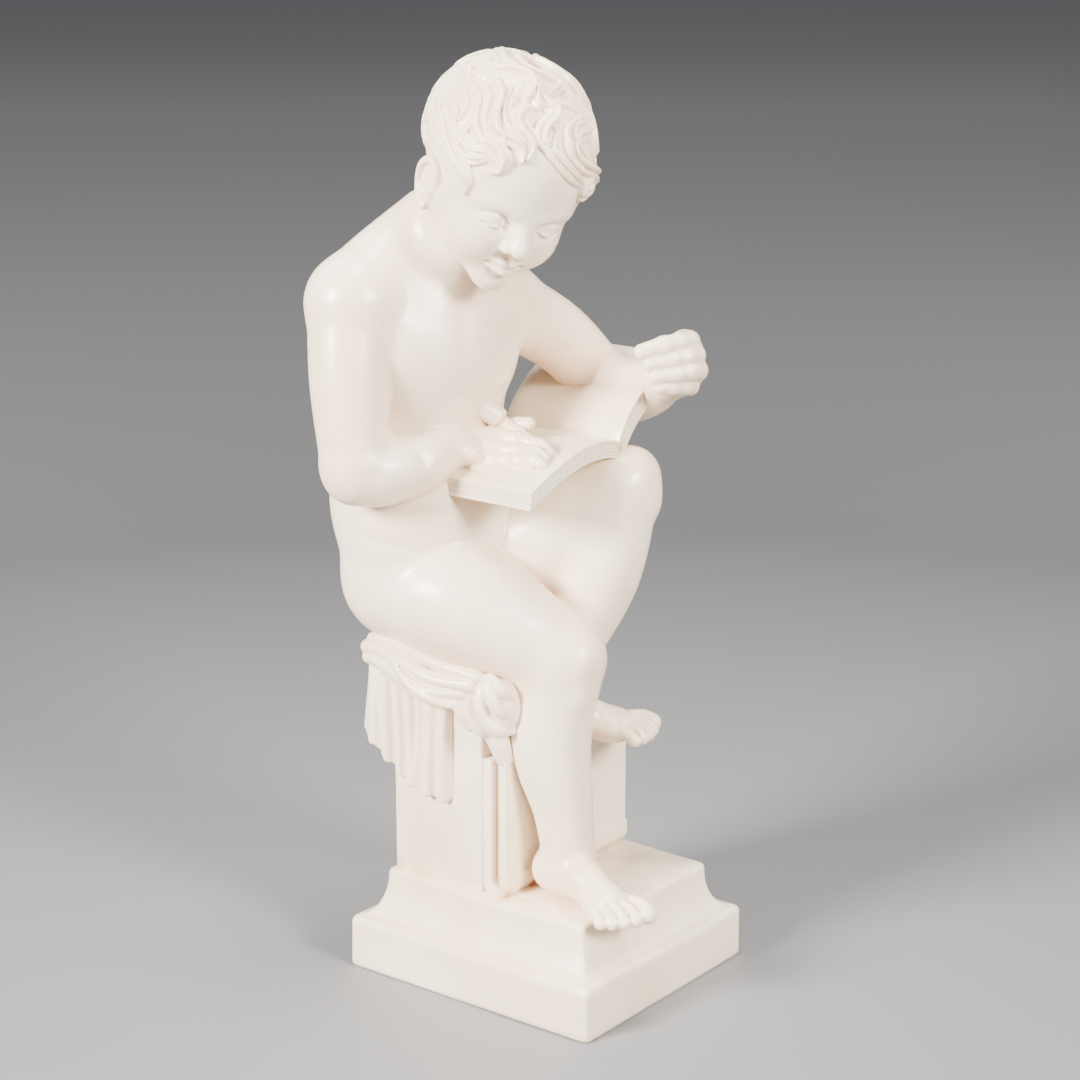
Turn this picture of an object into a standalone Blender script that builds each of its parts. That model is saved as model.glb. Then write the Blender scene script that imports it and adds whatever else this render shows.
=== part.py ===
"""Seated boy with an open book, cast in one body with his block, tome and plinth.

The frame: origin under the middle of the plinth, +Z up, the boy looks towards -Y,
his right hand is on the -X side. Lengths are metres.
"""
import math

import bmesh
import bpy
from mathutils import Matrix, Vector

# Plinth: a slab with a hollow moulding that rises to a smaller platform
PLINTH_WIDTH = 0.0932
PLINTH_DEPTH = 0.105
SLAB_HEIGHT = 0.019
PLATFORM_INSET = 0.0098
COVE_HEIGHT = 0.0174
COVE_STEPS = 8
EDGE_ROUND = 0.0009

# Seat block, standing near the back of the platform
BLOCK_WIDTH = 0.067
BLOCK_DEPTH = 0.0395
BLOCK_HEIGHT = 0.0815
BLOCK_BACK_GAP = 0.0008
BLOCK_ROUND = 0.0008

# Large closed book that leans on the block's front and carries the left foot
TOME_LENGTH = 0.069
TOME_THICK = 0.0095
TOME_HEIGHT = 0.049
TOME_SHIFT = 0.0035
TOME_BOARD = 0.0016
TOME_HOLLOW = 0.0012
HINGE_HEIGHT = 0.008
HINGE_PROUD = 0.0008
BOARD_ROUND = 0.0022

# Open book on the lap
BOOK_RIGHT = 0.0505
BOOK_LEFT = 0.042
BOOK_TALL = 0.044
BOOK_THICK = 0.0062
BOOK_STEPS = 9
BOOK_SLOPE = math.radians(10)
BOOK_RISE = math.radians(38)
BOOK_BULGE = 0.0048

# Figure: height from the platform to the crown, divided into parts
FIGURE_HEIGHT = 0.2865
PARTS = 286.5
UNIT = FIGURE_HEIGHT / PARTS

# Hair: wavy locks that fall from a whorl, sizes in parts and turns in degrees
WHORL_LEAN = math.radians(17.5)
LOCK_THICK = 3.3
LOCK_THIN = 1.4
LOCK_WAVE = 2.9
LOCK_WAVES = 1.25
LOCK_STEPS = 9
CROWN_LOCKS = 11
FRINGE_LOCKS = 17
SKULL = Vector((26.2, 31.2, 26.6))
SKULL_MIDDLE = Vector((0, 5.4, 5.6))

# Surface of the carved body
GRAIN = 0.0009
SMOOTH_TURNS = 40
TRIANGLES = 9400

PLATFORM_TOP = SLAB_HEIGHT + COVE_HEIGHT
SEAT_TOP = PLATFORM_TOP + BLOCK_HEIGHT
TOME_TOP = PLATFORM_TOP + TOME_HEIGHT
PLATFORM_FRONT = -PLINTH_DEPTH / 2 + PLATFORM_INSET
BLOCK_BACK = PLINTH_DEPTH / 2 - PLATFORM_INSET - BLOCK_BACK_GAP
BLOCK_FRONT = BLOCK_BACK - BLOCK_DEPTH
BLOCK_MIDDLE = (BLOCK_BACK + BLOCK_FRONT) / 2
BLOCK_SIDE = BLOCK_WIDTH / 2
TOME_FRONT = BLOCK_FRONT - TOME_THICK
OVERLAP = 0.001


def seat(x, y, z):
    """A point counted in parts from the middle of the seat."""
    return Vector((0, BLOCK_MIDDLE, SEAT_TOP)) + UNIT * Vector((x, y, z))


def floor(x, y, z):
    """A point counted in parts from the middle of the platform's front edge."""
    return Vector((0, PLATFORM_FRONT, PLATFORM_TOP)) + UNIT * Vector((x, y, z))


def step(x, y, z):
    """A point counted in parts from the middle of the tome's front top edge."""
    return Vector((TOME_SHIFT, TOME_FRONT, TOME_TOP)) + UNIT * Vector((x, y, z))


for old in list(bpy.data.objects):
    bpy.data.objects.remove(old, do_unlink=True)

scene = bpy.context.scene
statue_parts = bpy.data.collections.new("reading_boy_statue")
cutters = bpy.data.collections.new("cutters")
scene.collection.children.link(statue_parts)
scene.collection.children.link(cutters)


def material(name, color, roughness):
    mat = bpy.data.materials.new(name)
    mat.use_nodes = True
    shader = mat.node_tree.nodes["Principled BSDF"]
    shader.inputs["Base Color"].default_value = (*color, 1)
    shader.inputs["Roughness"].default_value = roughness
    shader.inputs["Metallic"].default_value = 0
    return mat


def add(name, mesh):
    obj = bpy.data.objects.new(name, mesh)
    statue_parts.objects.link(obj)
    return obj


def box(name, low, high):
    bm = bmesh.new()
    size = Vector(high) - Vector(low)
    middle = (Vector(high) + Vector(low)) / 2
    matrix = Matrix.Translation(middle) @ Matrix.Diagonal((*size, 1))
    bmesh.ops.create_cube(bm, size=1, matrix=matrix)
    mesh = bpy.data.meshes.new(name)
    bm.to_mesh(mesh)
    bm.free()
    return add(name, mesh)


def bevel(obj, width, segments=2):
    mod = obj.modifiers.new("round", "BEVEL")
    mod.width = width
    mod.segments = segments
    mod.limit_method = "ANGLE"
    mod.angle_limit = math.radians(25)
    return mod


def ball(name, centre, radii, turn=0, lean=0, tilt=0, segments=24, rings=14):
    """A round form: turn about Z, lean forwards about X, tilt sideways about Y."""
    bm = bmesh.new()
    spin = Matrix.Rotation(math.radians(turn), 4, "Z")
    spin = spin @ Matrix.Rotation(math.radians(lean), 4, "X")
    spin = spin @ Matrix.Rotation(math.radians(tilt), 4, "Y")
    scale = Matrix.Diagonal((*[r * UNIT for r in radii], 1))
    matrix = Matrix.Translation(centre) @ spin @ scale
    bmesh.ops.create_uvsphere(bm, u_segments=segments, v_segments=rings, radius=1, matrix=matrix)
    mesh = bpy.data.meshes.new(name)
    bm.to_mesh(mesh)
    bm.free()
    return add(name, mesh)


def limb(name, points, resolution=5):
    """A round limb through points of (place, radius in parts), with ball ends."""
    curve = bpy.data.curves.new(name, "CURVE")
    curve.dimensions = "3D"
    curve.bevel_depth = UNIT
    curve.bevel_resolution = 5
    curve.use_fill_caps = True
    curve.resolution_u = resolution
    spline = curve.splines.new("BEZIER")
    spline.bezier_points.add(len(points) - 1)
    for knot, (place, radius) in zip(spline.bezier_points, points):
        knot.co = place
        knot.radius = radius
        knot.handle_left_type = "AUTO"
        knot.handle_right_type = "AUTO"
    path = add(name + "_path", curve)
    bpy.context.view_layer.update()
    shape = path.evaluated_get(bpy.context.evaluated_depsgraph_get())
    mesh = bpy.data.meshes.new_from_object(shape)
    bpy.data.objects.remove(path, do_unlink=True)
    bm = bmesh.new()
    bm.from_mesh(mesh)
    bmesh.ops.remove_doubles(bm, verts=bm.verts, dist=0.00001)
    for place, radius in (points[0], points[-1]):
        end = Matrix.Translation(place)
        bmesh.ops.create_uvsphere(bm, u_segments=16, v_segments=10, radius=radius * UNIT, matrix=end)
    bm.to_mesh(mesh)
    bm.free()
    return add(name, mesh)


def outline(name, points, half_depth, middle_y):
    """A flat outline in the XZ plane, given thickness along Y."""
    curve = bpy.data.curves.new(name, "CURVE")
    curve.dimensions = "2D"
    curve.fill_mode = "BOTH"
    curve.extrude = half_depth
    spline = curve.splines.new("POLY")
    spline.points.add(len(points) - 1)
    for knot, (x, z) in zip(spline.points, points):
        knot.co = (x, z, 0, 1)
    spline.use_cyclic_u = True
    path = add(name + "_path", curve)
    path.rotation_euler = (math.pi / 2, 0, 0)
    path.location = (0, middle_y, 0)
    bpy.context.view_layer.update()
    shape = path.evaluated_get(bpy.context.evaluated_depsgraph_get())
    mesh = bpy.data.meshes.new_from_object(shape)
    mesh.transform(path.matrix_world)
    bpy.data.objects.remove(path, do_unlink=True)
    bm = bmesh.new()
    bm.from_mesh(mesh)
    bmesh.ops.remove_doubles(bm, verts=bm.verts, dist=0.00001)
    bmesh.ops.recalc_face_normals(bm, faces=bm.faces)
    bm.to_mesh(mesh)
    bm.free()
    return add(name, mesh)


def bake(obj):
    """Keep an object's modifiers in its mesh."""
    bpy.context.view_layer.update()
    shape = obj.evaluated_get(bpy.context.evaluated_depsgraph_get())
    mesh = bpy.data.meshes.new_from_object(shape)
    obj.modifiers.clear()
    obj.data = mesh
    return obj


def join(name, pieces):
    bm = bmesh.new()
    for piece in pieces:
        bake(piece)
        bm.from_mesh(piece.data)
        bpy.data.objects.remove(piece, do_unlink=True)
    mesh = bpy.data.meshes.new(name)
    bm.to_mesh(mesh)
    bm.free()
    return add(name, mesh)


def voxels(obj, size):
    """Melt what overlaps into one closed skin."""
    mod = obj.modifiers.new("one_skin", "REMESH")
    mod.mode = "VOXEL"
    mod.voxel_size = size
    return bake(obj)


def plinth():
    """The slab, then one ring of the moulding after another."""
    half = Vector((PLINTH_WIDTH / 2, PLINTH_DEPTH / 2))
    bm = bmesh.new()
    rings = [(0.0, 0.0), (0.0, SLAB_HEIGHT - EDGE_ROUND), (EDGE_ROUND, SLAB_HEIGHT)]
    for i in range(1, COVE_STEPS + 1):
        angle = math.pi / 2 * i / COVE_STEPS
        inset = EDGE_ROUND + (PLATFORM_INSET - 2 * EDGE_ROUND) * math.sin(angle)
        rise = (COVE_HEIGHT - EDGE_ROUND) * (1 - math.cos(angle))
        rings.append((inset, SLAB_HEIGHT + rise))
    rings.append((PLATFORM_INSET, PLATFORM_TOP))
    loops = []
    for inset, z in rings:
        x, y = half.x - inset, half.y - inset
        corners = ((-x, -y), (x, -y), (x, y), (-x, y))
        loops.append([bm.verts.new((cx, cy, z)) for cx, cy in corners])
    bm.faces.new(reversed(loops[0]))
    for low, high in zip(loops, loops[1:]):
        for i in range(4):
            j = (i + 1) % 4
            bm.faces.new((low[i], low[j], high[j], high[i]))
    bm.faces.new(loops[-1])
    mesh = bpy.data.meshes.new("plinth")
    bm.to_mesh(mesh)
    bm.free()
    return add("plinth", mesh)


def seat_block():
    low = (-BLOCK_SIDE, BLOCK_FRONT, PLATFORM_TOP - OVERLAP)
    high = (BLOCK_SIDE, BLOCK_BACK, SEAT_TOP)
    block = box("seat_block", low, high)
    bevel(block, BLOCK_ROUND)
    return block


def tome():
    """The page block, two boards with rounded top corners and the band that joins them below."""
    left = TOME_SHIFT - TOME_LENGTH / 2
    right = TOME_SHIFT + TOME_LENGTH / 2
    front = TOME_FRONT
    back = BLOCK_FRONT + OVERLAP
    low = PLATFORM_TOP - OVERLAP
    hollow = TOME_HOLLOW
    pages_low = (left + hollow, front + TOME_BOARD, low)
    pages_high = (right - hollow, back, TOME_TOP - hollow)
    boards = [box("pages", pages_low, pages_high)]
    for name, y in (("front_board", front), ("back_board", BLOCK_FRONT - TOME_BOARD)):
        thick = TOME_BOARD if name == "front_board" else TOME_BOARD + OVERLAP
        corners = [(left, low), (right, low)]
        for side, start in ((right, 0), (left, 90)):
            inward = BOARD_ROUND if side == left else -BOARD_ROUND
            for i in range(4):
                angle = math.radians(start + 30 * i)
                x = side + inward + BOARD_ROUND * math.cos(angle)
                z = TOME_TOP - BOARD_ROUND + BOARD_ROUND * math.sin(angle)
                corners.append((x, z))
        boards.append(outline(name, corners, thick / 2, y + thick / 2))
    band_low = (left - HINGE_PROUD, front - HINGE_PROUD, low)
    band = box("band", band_low, (right + HINGE_PROUD, back, PLATFORM_TOP + HINGE_HEIGHT))
    bevel(band, HINGE_PROUD)
    boards.append(band)
    return boards


def page_line(width, angle, bulge, count):
    """Points from the gutter outwards along one half's curved top."""
    points = []
    for i in range(1, count + 1):
        share = i / count
        along = width * share
        lift = bulge * math.sin(math.pi * share ** 0.8)
        x = along * math.cos(angle) - lift * math.sin(angle)
        z = along * math.sin(angle) + lift * math.cos(angle)
        points.append((x, z))
    return points


def open_book():
    gutter = seat(18.8, 0, 71.6)
    right = page_line(BOOK_RIGHT, -BOOK_SLOPE, BOOK_BULGE, BOOK_STEPS)
    left = page_line(BOOK_LEFT, BOOK_RISE, BOOK_BULGE * 1.25, BOOK_STEPS)
    top = [(-x, z) for x, z in reversed(right)] + [(0, 0)] + left
    under = []
    for x, z in reversed(left):
        under.append((x + BOOK_THICK * 0.75, z - BOOK_THICK * 0.85))
    under.append((BOOK_THICK * 1.1, -BOOK_THICK * 0.75))
    for x, z in right:
        under.append((-x + BOOK_THICK * 0.7 * (x / BOOK_RIGHT), z - BOOK_THICK * 1.2))
    points = [(gutter.x + x, gutter.z + z) for x, z in top + under]
    head = seat(0, -39, 0).y
    book = outline("open_book", points, BOOK_TALL / 2, head + BOOK_TALL / 2)
    return book


def torso():
    face = -17.5
    return [
        ball("hips", seat(-14, 14.5, 28), (33.5, 25.5, 28.5), face),
        ball("belly", seat(-19, 20, 52), (33, 25, 28), face),
        ball("ribs", seat(-17, 18, 90), (31, 23, 38), face, lean=-4),
        ball("upper_back", seat(-22, 26, 118), (26, 14, 20), face, lean=20),
        ball("buttock_right", seat(-22, 20, 24), (19, 18.5, 20), face),
        ball("buttock_left", seat(6, 14, 22), (21, 20, 21), face),
        ball("breast_right", seat(-34, 6, 104), (18, 9, 17), face),
        ball("breast_left", seat(-11, -1, 102), (15, 9, 17), face),
        ball("stomach", seat(-22, 10, 44), (25, 16, 22), face),
        limb("shoulders", [(seat(-47, 23, 122.5), 15), (seat(-19, 18, 120), 19), (seat(9, 5, 116), 14)]),
        limb("neck", [(seat(-19, 18, 120), 18), (seat(-17, 8, 139), 15), (seat(-15, -6, 156), 16)]),
        limb("nape_right", [(seat(-18, 16, 148), 11), (seat(-34, 21, 136), 12), (seat(-45, 23, 126), 12)]),
        limb("nape_left", [(seat(-14, 8, 144), 10), (seat(-2, 8, 128), 10), (seat(8, 6, 117), 10)]),
    ]


def head_frame():
    """The head's centre and its turn, bow and sideways lean."""
    centre = seat(-15.5, -16.5, 168)
    look = Matrix.Rotation(math.radians(-31), 3, "Z")
    look = look @ Matrix.Rotation(math.radians(28), 3, "X")
    look = look @ Matrix.Rotation(math.radians(15), 3, "Y")
    return centre, look


def head_form(name, place, radii):
    centre, look = head_frame()
    obj = ball(name, Vector((0, 0, 0)), radii)
    obj.data.transform(Matrix.Translation(centre + UNIT * (look @ Vector(place))) @ look.to_4x4())
    return obj


def head():
    return [
        head_form("skull", SKULL_MIDDLE, SKULL),
        head_form("forehead", (0, -11.5, 3), (22, 17, 20)),
        head_form("face", (0, -13, -15), (18.5, 15.5, 19)),
        head_form("jaw", (0, -13, -25), (14, 13, 10)),
        head_form("chin", (0, -22, -33), (7, 6, 6)),
        head_form("cheek_right", (-10, -17.5, -17), (9, 10, 10)),
        head_form("cheek_left", (10, -17.5, -17), (9, 10, 10)),
        head_form("ear_root_right", (-21.5, -2, -12), (5, 6, 8)),
        head_form("ear_root_left", (21.5, -2, -12), (5, 6, 8)),
    ]


def face_details():
    return [
        head_form("nose", (0, -30.5, -14.5), (3.6, 4.5, 4)),
        head_form("nose_bridge", (0, -27.5, -7), (2.6, 4, 8)),
        head_form("lips", (0, -27.5, -23), (5.5, 3.5, 3)),
        head_form("lids_right", (-9.5, -24.2, -7), (5, 3, 3.2)),
        head_form("lids_left", (9.5, -24.2, -7), (5, 3, 3.2)),
        head_form("ear_right", (-25, -2, -12), (2.6, 5.5, 8.5)),
        head_form("ear_left", (25, -2, -12), (2.6, 5.5, 8.5)),
    ]


def scalp(fall, turn, lift=0):
    """A place on the head: fall away from the whorl, turn about it, lift off the skin."""
    across = Vector((1, 0, 0))
    whorl = Vector((0, math.sin(WHORL_LEAN), math.cos(WHORL_LEAN)))
    ahead = Vector((0, -math.cos(WHORL_LEAN), math.sin(WHORL_LEAN)))
    side = math.cos(turn) * ahead + math.sin(turn) * across
    way = math.cos(fall) * whorl + math.sin(fall) * side
    place = Vector([m + w * (s + lift) for m, w, s in zip(SKULL_MIDDLE, way, SKULL)])
    centre, look = head_frame()
    return centre + UNIT * (look @ place)


def hairline(turn):
    """How far the fringe falls: short at the brow, longer over the ears and at the nape."""
    away = (1 - math.cos(turn)) / 2
    return math.radians(77 + 38 * away - 6 * math.sin(turn * 2) ** 2)


def lock(name, turn, start, end, swing, thick):
    """One wavy lock, thick at its root, that ends in a thin curl."""
    knots = []
    for i in range(LOCK_STEPS + 1):
        share = i / LOCK_STEPS
        fall = start + (end - start) * share
        wave = LOCK_WAVE * math.sin(2 * math.pi * (LOCK_WAVES * share + swing))
        sway = (0.5 + 0.5 * share) * wave / (SKULL.y * max(math.sin(fall), 0.3))
        radius = thick + (LOCK_THIN - thick) * share ** 2.5
        lift = 0.4 * math.sin(math.pi * share) - 0.25 * thick
        knots.append((scalp(fall, turn + sway, lift), radius))
    return limb(name, knots, 2)


def hair():
    locks = []
    for i in range(FRINGE_LOCKS):
        turn = 2 * math.pi * i / FRINGE_LOCKS
        start = math.radians(34 + 6 * (i % 2))
        end = hairline(turn)
        thick = LOCK_THICK * (1.12 if i % 2 else 0.96)
        locks.append(lock("fringe_lock", turn, start, end, 0.21 * i, thick))
    for i in range(CROWN_LOCKS):
        turn = 2 * math.pi * (i + 0.5) / CROWN_LOCKS
        end = math.radians(52 + 5 * (i % 2))
        locks.append(lock("crown_lock", turn, math.radians(7), end, 0.3 * i, LOCK_THICK * 0.95))
    curl = []
    for i in range(7):
        angle = math.radians(60 * i)
        place = scalp(math.radians(87 + 5 * math.sin(angle)), math.radians(55 + 6 * math.cos(angle)), 0.6)
        curl.append((place, 2.1 - 0.12 * i))
    locks.append(limb("temple_curl", curl, 2))
    return locks


def arms():
    right_upper = [(seat(-48.5, 22.5, 121), 15), (seat(-54.5, 18, 98), 13.6), (seat(-57.5, 13.5, 74), 12.4)]
    right_lower = [(seat(-57.5, 13.5, 69), 12.4), (seat(-41, 5, 69), 11.5), (seat(-25, -1, 74), 8.5)]
    return [
        limb("right_arm", right_upper),
        limb("right_forearm", right_lower),
        limb("left_arm", [(seat(11, 4, 115.5), 14), (seat(29, -4, 103), 12.8), (seat(44, -11, 87), 11.8)]),
        limb("left_forearm", [(seat(43, -11, 86), 11.5), (seat(43, -30, 85), 12.5), (seat(41, -42, 91), 10)]),
    ]


def finger(name, places, thick, thin):
    radii = [thick + (thin - thick) * i / (len(places) - 1) for i in range(len(places))]
    return limb(name, [(seat(*place), radius) for place, radius in zip(places, radii)], 4)


def hands():
    return [
        ball("right_palm", seat(-18.5, -7, 72.5), (9.5, 9, 7), -30),
        finger("right_index", [(-14, -8.6, 76), (-10, -17, 78), (-12, -30, 74)], 4.8, 3.2),
        finger("right_middle", [(-18, -9, 73), (-15, -21, 75.5), (-16, -34, 71)], 4.8, 3.2),
        finger("right_ring", [(-21, -9, 70), (-19.5, -22, 73), (-21, -35, 69.5)], 4.5, 3),
        finger("right_little", [(-24, -9, 68), (-24, -21, 70), (-25, -31, 68)], 4, 2.8),
        finger("right_thumb", [(-19, -5, 77), (-11, -11, 80.5), (-5.5, -18, 79)], 4.8, 3.4),
        ball("left_palm", seat(39, -46, 97), (9, 9, 12), -20),
        finger("left_index", [(39, -44, 104.5), (33, -51, 105.5), (23, -46, 103)], 4.6, 3.5),
        finger("left_middle", [(43, -48, 100), (37.5, -55.5, 101), (25, -47, 99.5)], 4.8, 3.6),
        finger("left_ring", [(44, -50, 95), (38.5, -56, 96.5), (26.5, -47, 95)], 4.6, 3.5),
        finger("left_little", [(42, -48, 89), (37, -53.5, 90), (29.5, -49, 91)], 4.2, 3.2),
        finger("left_thumb", [(42, -40, 92), (42, -36, 98), (38, -34, 102)], 4.6, 3.6),
    ]


def quill():
    feather = [(seat(-17.5, -1, 88), 3.4), (seat(-13, -4, 86), 4.8), (seat(-7, -10, 81), 3.4)]
    shaft = [(seat(-8, -12, 79.5), 2.6), (seat(-8.5, -24, 75), 1.9), (seat(-9, -35, 70.5), 1.2)]
    return [limb("feather", feather), limb("shaft", shaft)]


def legs():
    right_knee = seat(-13, -39, 2)
    right_ankle = floor(-16, 20.5, 10.5)
    right_calf = right_knee.lerp(right_ankle, 0.38) + UNIT * Vector((-2.5, 4.5, 0))
    left_knee = seat(24.5, -35, 54)
    left_ankle = step(-6, 2.5, 16)
    left_calf = left_knee.lerp(left_ankle, 0.42) + UNIT * Vector((2, -0.5, 0))
    return [
        limb("right_thigh", [(seat(-27, 17, 23), 21), (seat(-25, -8, 18), 22), (right_knee, 15)]),
        limb("right_shin", [(right_knee, 15), (right_calf, 14.4), (right_ankle, 9.8)]),
        limb("left_thigh", [(seat(3, 10, 24), 21), (seat(12, -13, 36), 21), (left_knee, 14.5)]),
        limb("left_shin", [(left_knee, 14.5), (left_calf, 15.8), (left_ankle, 9)]),
        limb("right_foot", [(floor(-17, 27, 7), 8.5), (floor(-20, 11, 8), 8), (floor(-26, -4, 4), 6)]),
        ball("right_ball", floor(-25, 0, 4), (11, 10, 5), -10),
        limb("left_foot", [(step(-9, 5, 7), 7.8), (step(-1, -4, 10.5), 7.8), (step(7, -14, 5), 5.6)]),
        ball("left_ball", step(7.5, -14, 4), (9.5, 9, 4.5), 38),
    ]


def feet():
    toes = []
    along = Vector((0.61, -0.79, 0))
    across = Vector((-0.79, -0.61, 0))
    for i in range(5):
        share = i / 4
        size = 3.9 - 1.4 * share ** 0.7
        reach = -12 + 7 * share ** 1.5
        x = -17.5 - 17 * share
        toes.append(limb("right_toe", [(floor(x + 1, reach + 9, 4), size), (floor(x - 1, reach, 1.5), size)]))
        root = step(8.5, -15, 4) + UNIT * across * (15 * share - 7)
        tip = root + UNIT * (along * (11.5 - 6 * share ** 1.5) - Vector((0, 0, 1.2)))
        toes.append(limb("left_toe", [(root, size), (tip, size)]))
    return toes


def fold(name, places, thick, thin):
    """A ridge of cloth through places counted in parts from the block's right side face."""
    side = -BLOCK_SIDE / UNIT
    count = len(places) - 1
    knots = []
    for i, (out, y, z) in enumerate(places):
        knots.append((seat(side - out, y, z), thick + (thin - thick) * i / count))
    return limb(name, knots)


def drapery():
    forms = [
        fold("corner_fall", [(-1, 23, -4), (1.5, 26, -22), (1.5, 27, -36)], 5.8, 7),
        fold("corner_edge", [(2, 20, -8), (5, 22, -24), (4, 23, -41)], 4.5, 4),
        fold("roll", [(-3, 24, -1), (7, 8, -5), (8, -9, -11), (4, -22, -14)], 4.5, 4),
        fold("roll_middle", [(-1, 24, -5), (7, 6, -10), (7.5, -6, -14), (3, -20, -19)], 4.2, 3.5),
        fold("roll_low", [(0, 22, -9), (5.5, 3, -16), (4, -14, -19)], 4.5, 3.5),
        fold("pouch_upper", [(1, -12, -12), (4, -20, -10), (2, -28, -8)], 5.5, 4),
        fold("pouch_middle", [(1, -13, -18), (4.5, -21, -17), (1, -29, -15)], 6, 4.5),
        fold("pouch_lower", [(0, -15, -24), (3, -21, -23), (0, -28, -21)], 5, 3.5),
        fold("strip", [(1, -2, -14), (1, -4, -32), (0.5, -5, -52)], 4.2, 3.6),
    ]
    for i in range(4):
        y = 18 - 5.6 * i
        drop = -45.5 - 1.6 * i
        forms.append(fold("pleat", [(1.5, y, -8), (1.8, y - 0.5, -26), (0.6, y, drop)], 3.6, 2.8))
    return forms


alabaster = material("ivory_alabaster", (0.86, 0.79, 0.70), 0.32)

body = join("body", torso() + head() + arms() + legs())
voxels(body, GRAIN)
soften = body.modifiers.new("soften", "SMOOTH")
soften.factor = 0.5
soften.iterations = SMOOTH_TURNS
small = face_details() + hair() + hands() + quill() + feet() + drapery()
hard = [plinth(), seat_block()] + tome() + [open_book()]
statue = join("statue", hard + small + [body])
voxels(statue, GRAIN)
thin = statue.modifiers.new("facets", "DECIMATE")
thin.ratio = TRIANGLES / (2 * len(statue.data.polygons))
bake(statue)
statue.data.materials.append(alabaster)
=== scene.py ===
import math

import bmesh
import bpy
import numpy as np
from mathutils import Matrix, Vector, noise


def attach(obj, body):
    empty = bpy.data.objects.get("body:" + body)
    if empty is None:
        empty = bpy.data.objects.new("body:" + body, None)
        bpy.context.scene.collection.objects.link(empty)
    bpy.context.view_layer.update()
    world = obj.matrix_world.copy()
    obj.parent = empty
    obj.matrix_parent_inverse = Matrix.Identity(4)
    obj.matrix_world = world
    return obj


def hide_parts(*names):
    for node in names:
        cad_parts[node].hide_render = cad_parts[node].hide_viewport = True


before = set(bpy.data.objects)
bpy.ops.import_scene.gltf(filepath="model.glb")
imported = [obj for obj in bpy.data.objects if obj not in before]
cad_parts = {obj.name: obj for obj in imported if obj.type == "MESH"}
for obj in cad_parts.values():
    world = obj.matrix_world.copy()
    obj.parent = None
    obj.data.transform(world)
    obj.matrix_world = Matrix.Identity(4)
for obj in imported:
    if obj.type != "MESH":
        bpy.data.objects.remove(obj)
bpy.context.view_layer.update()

MM = 0.001

# Limits of the modelling clay, in mm: its sharpest fillet, and the distance that it starts from
SOFTEST = 1e-4
FAR = 30.0

# Where the cast stands, in mm from the middle of the plinth's underside
PLATFORM = 36.4
SEAT = np.array((0, 22.15, 117.9))
TOE_EDGE = np.array((0, -42.7, PLATFORM))
TOME_EDGE = np.array((3.5, -7.1, 85.4))
BLOCK_SIDE = 33.5
BLOCK_FRONT = 2.4
BLOCK_BACK = 41.9

# Grain of the modelling clay, in mm
HEAD_GRAIN = 0.3
BODY_GRAIN = 0.45
CLOTH_GRAIN = 0.4


def seat(x, y, z):
    return SEAT + (x, y, z)


def floor(x, y, z):
    return TOE_EDGE + (x, y, z)


def step(x, y, z):
    return TOME_EDGE + (x, y, z)


def turned(turn=0, lean=0, tilt=0):
    """Turn about Z, lean forwards about X, tilt sideways about Y, in degrees."""
    spin = Matrix.Rotation(math.radians(turn), 3, "Z")
    spin = spin @ Matrix.Rotation(math.radians(lean), 3, "X")
    return np.array(spin @ Matrix.Rotation(math.radians(tilt), 3, "Y"))


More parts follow.
